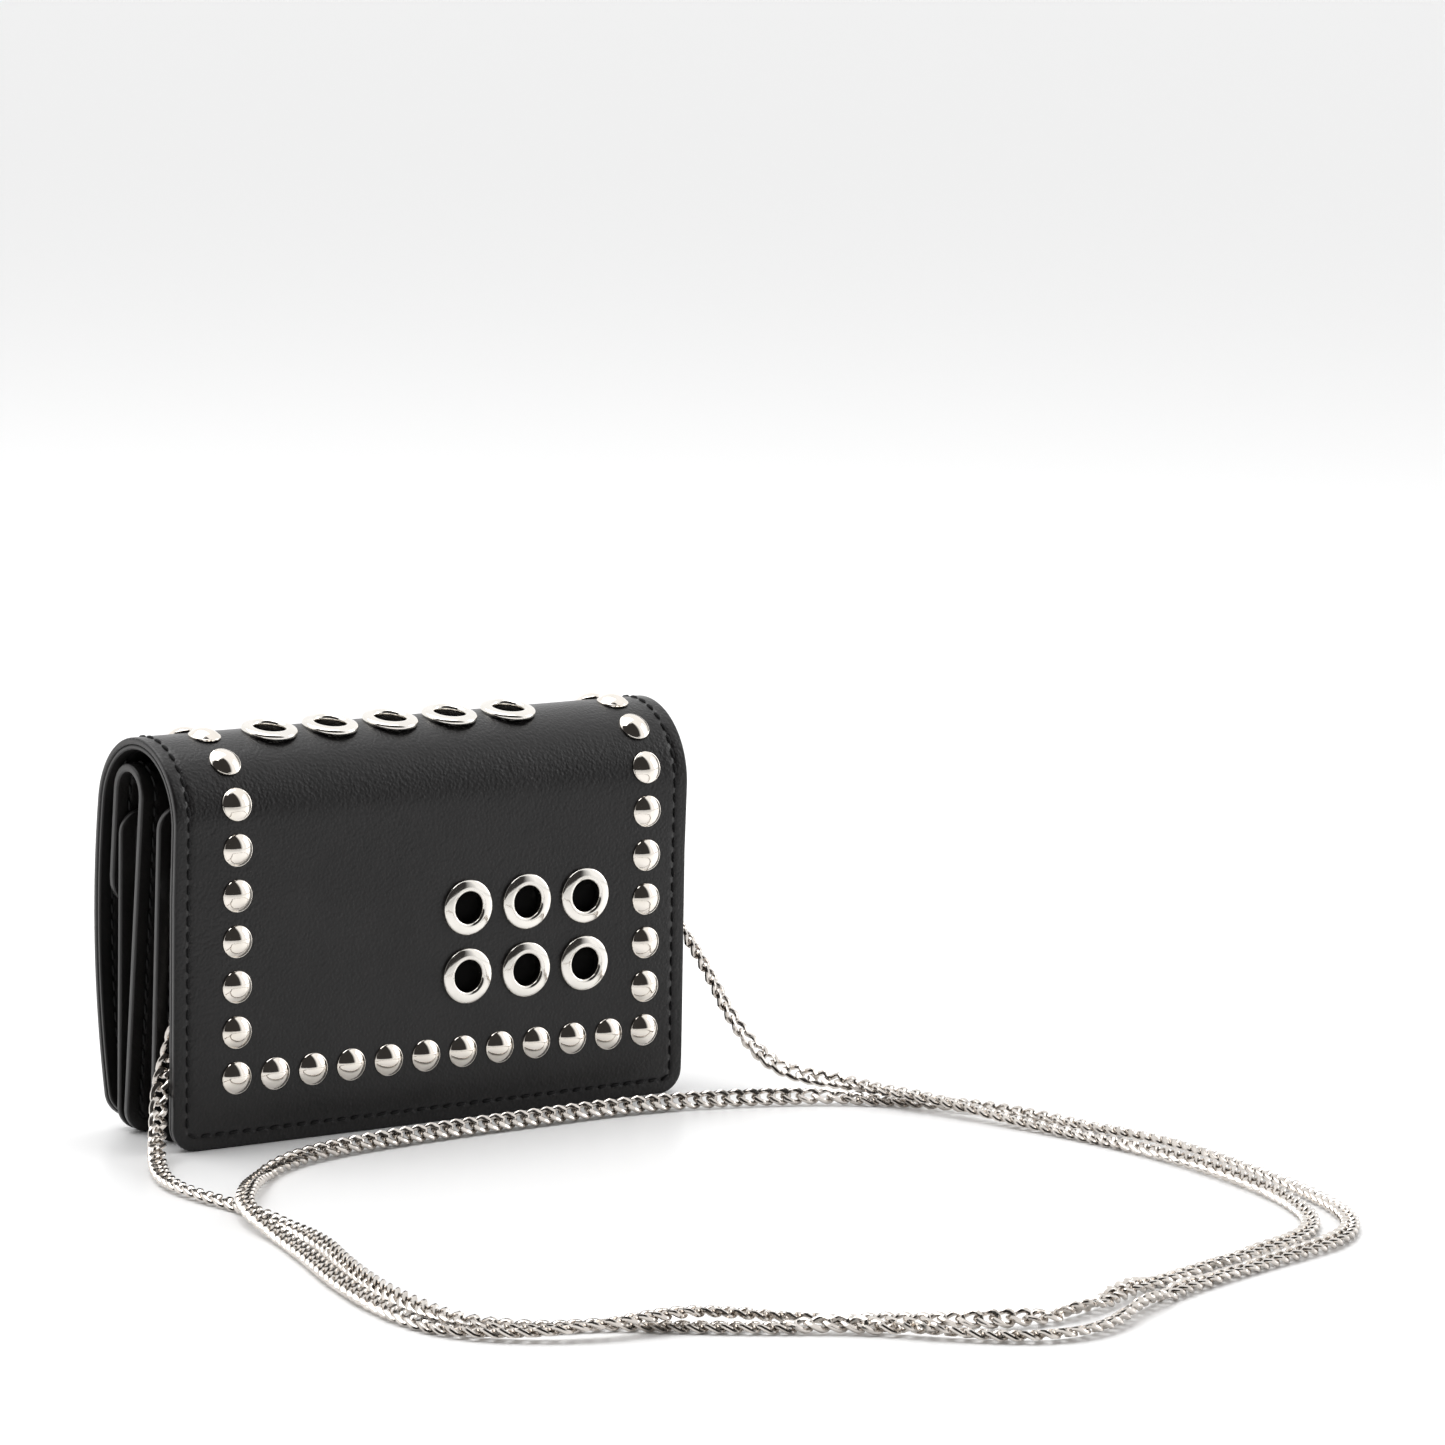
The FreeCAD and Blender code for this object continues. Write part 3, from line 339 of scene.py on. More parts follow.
# ---- profiles of the leathers
def cover_profile(along, depth):
    """(y, z) of points on the cover: along runs up the back, over the arch and down the flap."""
    along, depth = np.broadcast_arrays(np.asarray(along, float), np.asarray(depth, float))
    turn = np.clip((along - ARCH_BASE) / ARCH_RADIUS, 0, ARCH_SWEEP)
    radius = ARCH_RADIUS - depth
    y = ARCH_Y - radius * np.cos(turn)
    z = np.minimum(along, ARCH_BASE) + radius * np.sin(turn)
    past = along - ARCH_BASE - ARCH_LENGTH
    down = FLAP_SPLAY - past / FLAP_RADIUS
    bow = FLAP_RADIUS - depth
    y = np.where(past > 0, BOW_Y + bow * np.cos(down), y)
    z = np.where(past > 0, BOW_Z + bow * np.sin(down), z)
    return y, z


def leaf_profile(foot_y, lean):
    """A flat leaf that leans back from its foot; depth is measured towards +Y from its middle."""
    lean = math.radians(lean)

    def profile(along, depth):
        along, depth = np.broadcast_arrays(np.asarray(along, float), np.asarray(depth, float))
        return (foot_y - along * math.sin(lean) + depth * math.cos(lean),
                along * math.cos(lean) + depth * math.sin(lean))

    return profile


FRONT_FOOT = BACK_FACE + 21.9
FRONT_LEAN = math.radians(5)
FRONT_HEIGHT = 68.6
COIN_RADIUS = 5.02
COIN_SPLAY = math.radians(5)
COIN_DROP = 24.5
COIN_TURN = math.pi + FRONT_LEAN - COIN_SPLAY
COIN_ARCH = COIN_RADIUS * COIN_TURN
FRONT_LENGTH = FRONT_HEIGHT + COIN_ARCH + COIN_DROP


def front_profile(along, depth):
    """The front panel, which runs on over a tight arch and down as the coin flap."""
    along, depth = np.broadcast_arrays(np.asarray(along, float), np.asarray(depth, float))
    straight = np.minimum(along, FRONT_HEIGHT)
    turn = np.clip((along - FRONT_HEIGHT) / COIN_RADIUS, 0, COIN_TURN)
    past = np.maximum(along - FRONT_HEIGHT - COIN_ARCH, 0)
    heading = math.pi / 2 + FRONT_LEAN - turn
    root_y = FRONT_FOOT - FRONT_HEIGHT * math.sin(FRONT_LEAN)
    root_z = FRONT_HEIGHT * math.cos(FRONT_LEAN)
    centre_y = root_y + COIN_RADIUS * math.cos(FRONT_LEAN)
    centre_z = root_z + COIN_RADIUS * math.sin(FRONT_LEAN)
    in_arch = along > FRONT_HEIGHT
    y = np.where(in_arch, centre_y - COIN_RADIUS * np.sin(heading),
                 FRONT_FOOT - straight * math.sin(FRONT_LEAN))
    z = np.where(in_arch, centre_z + COIN_RADIUS * np.cos(heading), straight * math.cos(FRONT_LEAN))
    y = y + past * np.cos(heading)
    z = z + past * np.sin(heading)
    return y + depth * np.sin(heading), z - depth * np.cos(heading)


def spaced(start, end, step, fine=()):
    """Places from start to end about a step apart, with finer ones near the ends."""
    places = list(np.linspace(start, end, max(2, int(round((end - start) / step)) + 1)))
    inner = [place for place in places if start + fine[-1] + step / 2 < place < end - fine[-1] - step / 2]
    return np.array([start + f for f in fine] + inner + [end - f for f in fine[::-1]])


EDGE_ROUND = 0.4
FINE_EDGE = (0.0, 0.04, 0.13, 0.26, 0.4, 0.9)
FINE = (0.0, 0.04, 0.13, 0.26, 0.4, 0.9, 1.6, 2.3, 2.65, 2.85, 3.0, 3.15, 3.35, 3.7, 4.6)


def edge_distance(x, along, start, end, half, radii, ends):
    """How far a point of a rounded rectangle is from its outline; open ends have no outline."""
    distance = half - np.abs(x)
    for inside, radius, closed in ((along - start, radii[0], ends[0]), (end - along, radii[1], ends[1])):
        if not closed:
            continue
        side = half - np.abs(x)
        corner = radius - np.hypot(np.maximum(radius - side, 0), np.maximum(radius - inside, 0))
        both = np.minimum(side, inside)
        distance = np.minimum(distance, np.where((side < radius) & (inside < radius), corner, both))
    return np.maximum(distance, 0)


def slab(name, profile, start, end, half, near, far, radii=(0.0, 0.0), ends=(True, True), seam=SEAM,
         sides=(True, False), material=COVER, step=1.3, rounding=EDGE_ROUND, fine=FINE, lift=None):
    """A piece of leather that follows a profile: two faces with rounded, painted edges.

    near and far are its faces' depths in the profile; seam is the groove that its stitches lie in,
    on the near and far face as sides says; lift is how much deeper both lie at a place.
    """
    rows = spaced(start, end, step, fine)
    if not ends[0]:
        rows = np.concatenate([[start, start + 0.15, start + 0.4, start + 0.8], rows[rows > start + 1.2]])
    if not ends[1]:
        rows = np.concatenate([rows[rows < end - 1.2], [end - 0.8, end - 0.4, end - 0.15, end]])
    inset = np.zeros(len(rows))
    for inside, radius, closed in ((rows - start, radii[0], ends[0]), (end - rows, radii[1], ends[1])):
        if closed and radius > 0:
            short = np.clip(radius - inside, 0, radius)
            inset = np.maximum(inset, radius - np.sqrt(radius ** 2 - short ** 2))
    columns = spaced(-half, half, step * 1.3, fine)
    middle = np.clip(columns / (half - fine[-1]), -1, 1)
    offset = columns - middle * (half - fine[-1])
    reach = (half - fine[-1] - inset)[:, None]
    x = middle[None, :] * reach + offset[None, :]
    along = np.repeat(rows[:, None], len(columns), 1)
    distance = edge_distance(x, along, start, end, half, radii, ends)
    short = np.clip(rounding - distance, 0, rounding)
    drop = rounding - np.sqrt(np.maximum(rounding ** 2 - short ** 2, 0))
    groove = 0.22 * np.exp(-((distance - seam) / 0.36) ** 2) if seam else 0 * distance
    points = []
    for face, depth in enumerate((near, far)):
        way = 1 if face == 0 else -1
        sunk = depth + way * (drop + (groove if sides[face] else 0))
        sunk = sunk + (lift(x, along) if lift else 0)
        y, z = profile(along, sunk)
        points.append(np.stack([x, y, z], -1).reshape(-1, 3))
    size = len(rows), len(columns)
    faces = grid_faces(*size) + grid_faces(*size, len(rows) * len(columns), flip=True)
    rim = rim_faces(*size)
    marks = [0] * len(faces) + [1] * len(rim)
    return make_piece(name, np.vstack(points), faces + rim, [material, EDGE], marks)


def seam_path(start, end, half, radii, ends, seam=SEAM, step=0.25):
    """(x, along) of a seam that runs inside a leather's outline, from its open end if it has one."""
    side = half - seam
    low, high = start + (seam if ends[0] else 0), end - (seam if ends[1] else 0)
    corners = [max(radii[0] - seam, 0.8) if ends[0] else 0, max(radii[1] - seam, 0.8) if ends[1] else 0]
    quarter = np.linspace(0, math.pi / 2, 9)
    first = []
    if ends[0]:
        r = corners[0]
        first = [(side - r + r * math.cos(a), low + r - r * math.sin(a)) for a in quarter[::-1]]
    last = []
    if ends[1]:
        r = corners[1]
        last = [(side - r + r * math.cos(a), high - r + r * math.sin(a)) for a in quarter]
    right = (first or [(side, low)]) + (last or [(side, high)])
    left = [(-x, s) for x, s in right[::-1]]
    if ends[0] and ends[1]:
        path = right + left + right[:1]
    elif ends[1]:
        path = right + left
    else:
        path = left + right
    path = np.array(path)
    length = travelled(path)
    return sample(np.arange(0, length[-1], step), length, path)


def stitch(parts, centre, tangent, normal, long, thick):
    """One stitch: a short thread that rises out of the leather and goes back into it."""
    sides = 6
    stations = np.linspace(-1, 1, 7)
    across = np.cross(normal, tangent)
    points = []
    for station in stations:
        radius = thick * (1 - 0.55 * station ** 4)
        height = thick * (0.35 - 1.5 * station ** 4)
        for side in range(sides):
            angle = 2 * math.pi * side / sides
            points.append(centre + tangent * station * long / 2 + across * radius * math.cos(angle)
                          + normal * (height + radius * math.sin(angle)))
    faces = grid_faces(len(stations), sides, wrap=True)
    faces.append(list(range(sides))[::-1])
    faces.append([len(points) - sides + side for side in range(sides)])
    parts.add(points, faces)


def stitching(name, profile, path, depth, way=-1, slant=0.10):
    """A row of stitches along a seam's path, on the face at a depth of a profile."""
    y, z = profile(path[:, 1], depth)
    points = np.stack([path[:, 0], y, z], 1)
    y2, z2 = profile(path[:, 1], depth + 1)
    inward = unit(np.stack([path[:, 0], y2, z2], 1) - points)
    normals = inward * way
    length = travelled(points)
    count = int(length[-1] / STITCH_PITCH)
    pitch = length[-1] / count
    parts = Parts()
    for index in range(count):
        at = (index + 0.5) * pitch
        behind, centre, ahead = sample([at - 0.8, at, at + 0.8], length, points)
        normal = unit(sample(at, length, normals))
        tangent = unit(ahead - behind)
        tangent = unit(tangent + np.cross(normal, tangent) * slant)
        stitch(parts, centre - normal * 0.12, tangent, normal, pitch * 0.80, 0.34)
    return parts.piece(name, [THREAD])


# ---- cover
EYELET_NODES = {"back": "back_grommets", "spine": "spine_grommets"}
LINING_INSET = 0.12  # the lining stops this far inside the outer leather
FACING_TOP = 61
FACING_THICK = 1.0
REAR_OUTLINE = {"radii": (CORNER, 0), "ends": (True, False)}
FRONT_OUTLINE = {"radii": (0, CORNER), "ends": (False, True)}


def islands(node):
    """Centres of a CAD node's separate solids, in millimetres."""
    mesh = frame["nodes"][node].data
    points = np.array([v.co for v in mesh.vertices]) / MM
    parent = list(range(len(points)))

    def root(i):
        while parent[i] != i:
            parent[i] = parent[parent[i]]
            i = parent[i]
        return i

    seen = {}
    for index, point in enumerate(np.round(points, 3)):
        key = tuple(point)
        if key in seen:
            parent[root(index)] = root(seen[key])
        seen[key] = index
    for edge in mesh.edges:
        a, b = root(edge.vertices[0]), root(edge.vertices[1])
        if a != b:
            parent[a] = b
    groups = {}
    for index in range(len(points)):
        groups.setdefault(root(index), []).append(index)
    return [(points[g].min(0) + points[g].max(0)) / 2 for g in groups.values()]


def face_seat(profile, along, depth, way, x=0.0):
    """A seat on a leather's face: the spot, the normal that points off it and the way up."""
    y, z = profile(along, depth)
    y1, z1 = profile(along, depth + way)
    normal = unit(np.array([0, float(y1) - float(y), float(z1) - float(z)]))
    return np.array([x, float(y), float(z)]), normal, np.cross(normal, np.array([1.0, 0, 0]))


def seat(centre):
    """The seat on the cover's outer face that is nearest to a point."""
    along = np.linspace(0, COVER_LENGTH, 4000)
    y, z = cover_profile(along, 0)
    best = np.argmin(np.hypot(y - centre[1], z - centre[2]))
    return face_seat(cover_profile, along[best], 0, -1, centre[0])


def lathe(parts, outline, spot, normal, up, turns=44, closed=False):
    """Turn an outline of (radius, height) about the normal through a spot."""
    across = np.cross(up, normal)
    points = []
    for radius, height in outline:
        for turn in range(turns):
            angle = 2 * math.pi * turn / turns
            points.append(spot + across * radius * math.cos(angle) + up * radius * math.sin(angle)
                          + normal * height)
    rows = len(outline)
    if closed:
        faces = ring_faces(rows, turns)
    else:
        faces = grid_faces(rows, turns, wrap=True)
        faces.append(list(range(turns))[::-1])
        faces.append([(rows - 1) * turns + turn for turn in range(turns)])
    parts.add(points, faces)


def stud_outline(radius=3.27, height=1.6, rim=0.32):
    """Flared rim, a fine step and a dome."""
    outline = [(radius - 0.25, -0.15), (radius, 0.0), (radius, rim * 0.7), (radius - 0.07, rim),
               (radius - 0.16, rim + 0.02)]
    rise = height - rim - 0.02
    base = radius - 0.16
    sphere = (base ** 2 + rise ** 2) / (2 * rise)
    top = math.asin(base / sphere)
    for share in np.linspace(0.97, 0.04, 12):
        angle = top * share
        outline.append((sphere * math.sin(angle), height - sphere + sphere * math.cos(angle)))
    return outline


def eyelet_outline(outer=5.7, hole=3.2):
    """A rolled flange whose inner edge turns down into the barrel."""
    return [(hole + 0.45, -1.35), (hole, -1.35), (hole - 0.02, 0.3), (hole + 0.02, 0.62), (hole + 0.12, 0.86),
            (hole + 0.28, 1.03), (hole + 0.5, 1.12), (hole + 0.75, 1.14), (hole + 1.1, 1.09),
            (hole + 1.5, 1.02), (hole + 1.95, 0.91), (outer - 0.32, 0.83), (outer - 0.17, 0.74),
            (outer - 0.06, 0.58), (outer, 0.38), (outer, 0.08), (outer - 0.12, -0.1), (hole + 0.6, -0.1)]


def turn_on_cover(name, nodes, outline, material, sharp=40, turns=44, closed=False, inwards=False):
    """One piece with an outline turned about the cover's normal at each of the nodes' solids."""
    parts = Parts()
    for node in nodes:
        for centre in islands(node):
            spot, normal, up = seat(centre)
            lathe(parts, outline, spot, -normal if inwards else normal, up, turns, closed)
    return parts.piece(name, [material], sharp)


def dress_with_studs():
    """Domed studs and rolled eyelets, where their CAD solids sit."""
    for body in ("back", "spine", "flap"):
        studs = turn_on_cover(f"{body}_domed_studs", [f"{body}_studs"], stud_outline(), NICKEL, 35)
        hand_over(studs, body, "stud_metal", f"{body}_studs")
    for body, node in EYELET_NODES.items():
        eyelets = turn_on_cover(f"{body}_rolled_eyelets", [node], eyelet_outline(), EYELET, 50, closed=True)
        hand_over(eyelets, body, "grommet_metal", node)


def build_eyelet_shade_discs():
    """Near-black discs at the bottom of the eyelets' barrels: painted shade for the dark inside of the holes,
    not a real felt.
    """
    dish = [(3.3, -1.4), (3.3, -1.2), (3.05, -1.05), (1.5, -0.97), (0.2, -0.95)]
    for body, node in EYELET_NODES.items():
        shade_disc = turn_on_cover(f"{body}_eyelet_painted_shade", [node], dish, EYELET_SHADE, turns=32)
        hand_over(shade_disc, body, "lining_leather")


def cut_eyelet_holes(piece, radius=3.75, reach=2.2):
    """Cut the eyelets' holes through the outer leather."""
    cutter = turn_on_cover("eyelet_cutter", EYELET_NODES.values(), [(radius, reach), (radius, -reach)], EDGE,
                           turns=32, inwards=True)
    mod = piece.modifiers.new("holes", "BOOLEAN")
    mod.operation = "DIFFERENCE"
    mod.object = cutter
    mod.solver = "EXACT"
    graph = bpy.context.evaluated_depsgraph_get()
    mesh = bpy.data.meshes.new_from_object(piece.evaluated_get(graph))
    piece.modifiers.clear()
    piece.data = mesh
    bpy.data.objects.remove(cutter)
    mesh.shade_smooth()
    mesh.set_sharp_from_angle(angle=math.radians(40))


def margin_fall(x, along):
    """How far the back panel's side and bottom margins bend inwards from its studded field."""
    side = np.clip((np.abs(x) - 46) / 14, 0, 1)
    bottom = np.clip((12 - along) / 12, 0, 1)
    fade = np.clip((ARCH_BASE - along) / 14, 0, 1)
    return 0.5 * side ** 2 * fade + 0.3 * bottom ** 2


def build_cover():
    """Outer leather, lining and facing; each of the first two in a rear piece and a front one."""
    rear = slab("cover_rear", cover_profile, 0, SPLIT, HALF_WIDTH, 0, COVER_THICK, **REAR_OUTLINE,
                lift=margin_fall)
    cut_eyelet_holes(rear)
    front = slab("cover_front", cover_profile, SPLIT, COVER_LENGTH, HALF_WIDTH, 0, COVER_THICK,
                 **FRONT_OUTLINE)
    deep = COVER_THICK + LINING_THICK
    lined = {"half": HALF_WIDTH - LINING_INSET, "near": COVER_THICK, "far": deep, "sides": (False, True),
             "material": LINING, "rounding": 0.3}
    lining_rear = slab("lining_rear", cover_profile, LINING_INSET, SPLIT, **lined, **REAR_OUTLINE,
                       lift=margin_fall)
    lining_front = slab("lining_front", cover_profile, SPLIT, COVER_LENGTH - LINING_INSET, **lined,
                        **FRONT_OUTLINE)
    rear_path = seam_path(0, SPLIT, HALF_WIDTH, **REAR_OUTLINE)
    rear_thread = stitching("cover_rear_stitching", cover_profile, rear_path, margin_fall(*rear_path.T))
    front_path = seam_path(SPLIT, COVER_LENGTH, HALF_WIDTH, **FRONT_OUTLINE)
    front_thread = stitching("cover_front_stitching", cover_profile, front_path, 0)
    inner_thread = stitching("lining_front_stitching", cover_profile, front_path, deep, 1)
    facing = slab("back_facing_leather", cover_profile, 0.4, FACING_TOP, HALF_WIDTH - 0.6, deep,
                  deep + FACING_THICK, (CORNER, CORNER), seam=None, material=LINING, rounding=0.3,
                  lift=margin_fall)
    for piece in (rear, lining_rear, rear_thread):
        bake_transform(piece)
    for piece in (front, lining_front, front_thread, inner_thread):
        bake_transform(piece)
    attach(facing, "back")
    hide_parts("back_leather", "spine_leather")
    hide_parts("flap_leather", "spine_leather")
    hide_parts("back_lining", "spine_lining")
    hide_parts("flap_lining", "spine_lining")
    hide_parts("back_facing")


# ---- inner leaves
LEAF_HALF = HALF_WIDTH - 0.75
LEAF_FOOT = 0.1  # the leaves stop this far above the floor
DIVIDER_FOOT = BACK_FACE + 11.0
DIVIDER_LEAN = 2
DIVIDER_HEIGHT = 68
DIVIDER_SKIN = 0.8  # half the divider's thickness
POCKET_FOOT = BACK_FACE + 24.4
POCKET_LEAN = 0.3
POCKET_HEIGHT = 65
POCKET_SKIN = 0.7  # half the coin pocket panel's thickness
FRONT_NEAR = -0.9  # depths of the front panel's two faces
FRONT_FAR = 0.8
COIN_CORNERS = (CORNER, 6.0)
SLIP_FOOT = 6
SLIP_HALF = 44.5
SLIP_THICK = 0.6
SLIP_CORNERS = (2.5, 2.5)
SLIP_SEAM = 2.0


def build_leaves():
    """Divider with its stepped card slips, coin pocket panel, and front panel with its coin flap."""
    divider_profile = leaf_profile(DIVIDER_FOOT, DIVIDER_LEAN)
    pocket_profile = leaf_profile(POCKET_FOOT, POCKET_LEAN)
    leaf = {"half": LEAF_HALF, "radii": (CORNER, CORNER), "material": INNER}
    divider = slab("divider_leather", divider_profile, LEAF_FOOT, DIVIDER_HEIGHT, near=-DIVIDER_SKIN,
                   far=DIVIDER_SKIN, sides=(True, True), **leaf)
    for step, (name, top) in enumerate((("card_slip_high", 44), ("card_slip_low", 32))):
        near = DIVIDER_SKIN + step * SLIP_THICK
        far = near + SLIP_THICK
        slip = slab(f"{name}_leather", divider_profile, SLIP_FOOT, top, SLIP_HALF, near, far, SLIP_CORNERS,
                    seam=SLIP_SEAM, sides=(False, True), material=INNER, rounding=0.25)
        path = seam_path(SLIP_FOOT, top, SLIP_HALF, SLIP_CORNERS, (True, True), SLIP_SEAM)
        thread = stitching(f"{name}_stitching", divider_profile, path, far, 1)
        hand_over(slip, "divider", "inner_leather", name)
        hand_over(thread, "divider", "inner_leather")
    hand_over(divider, "divider", "inner_leather", "divider_leaf")
    pocket = slab("coin_pocket_leather", pocket_profile, LEAF_FOOT, POCKET_HEIGHT, near=-POCKET_SKIN,
                  far=POCKET_SKIN, sides=(False, True), **leaf)
    hand_over(pocket, "front", "inner_leather", "coin_pocket_panel")
    front = slab("front_and_coin_flap", front_profile, LEAF_FOOT, FRONT_LENGTH, LEAF_HALF, FRONT_NEAR,
                 FRONT_FAR, COIN_CORNERS, sides=(True, True), material=INNER)
    path = seam_path(LEAF_FOOT, FRONT_LENGTH, LEAF_HALF, COIN_CORNERS, (True, True))
    back_thread = stitching("front_back_stitching", front_profile, path, FRONT_NEAR)
    face_thread = stitching("front_face_stitching", front_profile, path, FRONT_FAR, 1)
    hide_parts("front_panel", "coin_flap")
    for piece in (front, back_thread, face_thread):
        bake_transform(piece)
    for name, profile, height, depth, way, body in (
            ("divider_back", divider_profile, DIVIDER_HEIGHT, -DIVIDER_SKIN, -1, "divider"),
            ("divider_face", divider_profile, DIVIDER_HEIGHT, DIVIDER_SKIN, 1, "divider"),
            ("coin_pocket_face", pocket_profile, POCKET_HEIGHT, POCKET_SKIN, 1, "front")):
        path = seam_path(LEAF_FOOT, height, LEAF_HALF, (CORNER, CORNER), (True, True))
        hand_over(stitching(f"{name}_stitching", profile, path, depth, way), body, "inner_leather")


GUSSET_FOOT = 4.5
GUSSET_THICK = 0.7


def build_gusset(name, faces, height, inset, move, replaced):
    """A soft gusset that folds inwards between two leaves, at both sides, with puckers along its top.

    faces give the leaves' depths at a height, inset how far from the side edge its seams and its
    fold lie, and move is called with each piece to bake it in place or to say what carries it.
    """
    slots = np.linspace(0, 1, 15)
    rows = np.linspace(0, 1, 42)
    for side, sign in (("left", -1), ("right", 1)):
        points = []
        for layer in (0, 1):
            for row in rows:
                z = GUSSET_FOOT + (height - GUSSET_FOOT) * row
                near = faces[0](z)
                far = faces[1](z)
                ripple = 0.35 * math.sin(z / 3.3 + sign) + 0.22 * math.sin(z / 1.7)
                gather = max(0.0, (row - 0.86) / 0.14)
                for share in slots:
                    fold = math.sin(math.pi * share) ** 0.8
                    depth = near + (far - near) * share
                    x = HALF_WIDTH - inset[0] - (inset[1] - inset[0]) * fold * (1 - 0.35 * gather)
                    x += ripple * fold + (GUSSET_THICK if layer else 0.0) * (0.35 + 0.65 * fold)
                    sag = 0.5 * math.sin(share * 9 + sign) * gather - 2.2 * fold * gather
                    depth += 0.4 * math.sin(z / 2.6 + share * 3) * fold * (1 - fold)
                    points.append((x * sign, depth, z + sag))
        size = len(rows), len(slots)
        skin = grid_faces(*size, flip=sign > 0)
        skin += grid_faces(*size, len(rows) * len(slots), flip=sign < 0)
        skin += [quad[::-sign] for quad in rim_faces(*size)]
        piece = make_piece(f"{name}_{side}", points, skin, [GUSSET])
        move(piece)
        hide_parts(*[f"{node}_{side}" for node in replaced])


def between():
    """What is done with a gusset that runs from one leaf to another: its transform is baked into its mesh."""
    return lambda piece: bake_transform(piece)


def build_gussets():
    """The gussets of the back, middle and coin pockets, each a little sunk into its leaves."""
    facing = BACK_FACE + (COVER_THICK + LINING_THICK + FACING_THICK)

    def divider_face(z, way):
        return DIVIDER_FOOT - z * math.tan(math.radians(DIVIDER_LEAN)) + way * DIVIDER_SKIN

    def front_face(z):
        return FRONT_FOOT - z * math.tan(FRONT_LEAN) + FRONT_NEAR

    def pocket_face(z):
        return POCKET_FOOT - z * math.tan(math.radians(POCKET_LEAN)) - POCKET_SKIN

    build_gusset("back_pocket_gusset", (lambda z: facing - 0.1, lambda z: divider_face(z, -1) + 0.2), 64,
                 (9.5, 15.5), between(),
                 ("back_gusset", "divider_gusset_back"))
    build_gusset("middle_pocket_gusset", (lambda z: divider_face(z, 1) - 0.2, lambda z: front_face(z) + 0.2),
                 66.5, (7.0, 15.0), between(),
                 ("divider_gusset_front", "front_gusset"))
    build_gusset("coin_pocket_gusset", (lambda z: front_face(z) + 1.5, lambda z: pocket_face(z) + 0.2), 62,
                 (3.8, 7.5), lambda piece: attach(piece, "front"), ("coin_pocket_side",))


def build_pocket_floors():
    """The accordion pockets' floors, each with a soft crease along its middle."""
    for node in ("pocket_floor_back", "pocket_floor_front"):
        low, high = node_box(node)
        depth = high[1] - low[1]

        def profile(along, down, low=low, high=high, depth=depth):
            along, down = np.broadcast_arrays(np.asarray(along, float), np.asarray(down, float))
            crease = 0.9 * np.exp(-((along - depth / 2) / 1.1) ** 2)
            return low[1] + along, high[2] - down + crease

        floor = slab(f"{node}_leather", profile, 0, depth, high[0], 0, high[2] - low[2], (1.5, 1.5),
                     seam=None, material=GUSSET, step=0.6, rounding=0.3, fine=FINE_EDGE)
        hand_over(floor, BODY_OF[node], "gusset_leather", node)


# ---- rings and snaps
D_WIRE = 0.8
D_BOW = 3.8  # radius of the D-ring's round side
D_CORNER = 0.9
LINK_RING_WIRE = 0.5
LINK_RING_RADIUS = 1.7
TAB_THICK = 0.85
TAB_GAP = 0.05  # between the tab's leather and what it touches
TAB_SEWN = 6.5  # above the D-ring's bar, where the tab's two sides meet


def bent_profile(corners):
    """A profile that follows a bent line of (y, z) corners; depth is measured to its left."""
    corners = np.array(corners, float)
    length = travelled(corners)
    places = np.linspace(0, length[-1], 200)
    line = sample(places, length, corners)
    kernel = np.ones(9) / 9
    padded = np.pad(line, ((4, 4), (0, 0)), mode="reflect", reflect_type="odd")
    line = np.stack([np.convolve(padded[:, k], kernel, "valid") for k in range(2)], 1)
    heading = unit(np.gradient(line, axis=0))

    def profile(along, depth):
        along, depth = np.broadcast_arrays(np.asarray(along, float), np.asarray(depth, float))
        y, z = np.moveaxis(sample(along, places, line), -1, 0)
        ahead_y, ahead_z = np.moveaxis(sample(along, places, heading), -1, 0)
        return y + depth * ahead_z, z - depth * ahead_y

    return profile, length[-1]


def wire_ring(name, line, radius, across, node):
    """A closed ring of round wire, whose centreline lies in a plane across the given direction."""
    around = 16
    out = np.cross(unit(np.roll(line, -1, 0) - np.roll(line, 1, 0)), across)
    angles = 2 * math.pi * np.arange(around) / around
    spokes = out[:, None, :] * np.cos(angles)[:, None] + across * np.sin(angles)[:, None]
    points = line[:, None, :] + radius * spokes
    ring = make_piece(name, points.reshape(-1, 3), ring_faces(len(line), around), [RING])
    hand_over(ring, "back", "ring_metal", node)


def d_ring_line(x, y, z):
    """The centreline of a D-ring: a bow, two eased corners and the bar at a place."""
    turns = np.linspace(-0.25, -math.pi + 0.25, 30)
    bow = [(D_BOW * math.cos(turn), D_BOW * math.sin(turn)) for turn in turns]
    bend = [((1 - t) ** 2 * bow[-1][0] - 2 * t * (1 - t) * D_BOW - t ** 2 * (D_BOW - D_CORNER),
             (1 - t) ** 2 * bow[-1][1]) for t in np.linspace(0.2, 1, 6)]
    bar = [(share * (D_BOW - D_CORNER), 0) for share in (-0.5, 0, 0.5)]
    outline = bow + bend + bar + [(-a, b) for a, b in bend[::-1]]
    return np.array([(x + a, y, z + b) for a, b in outline])


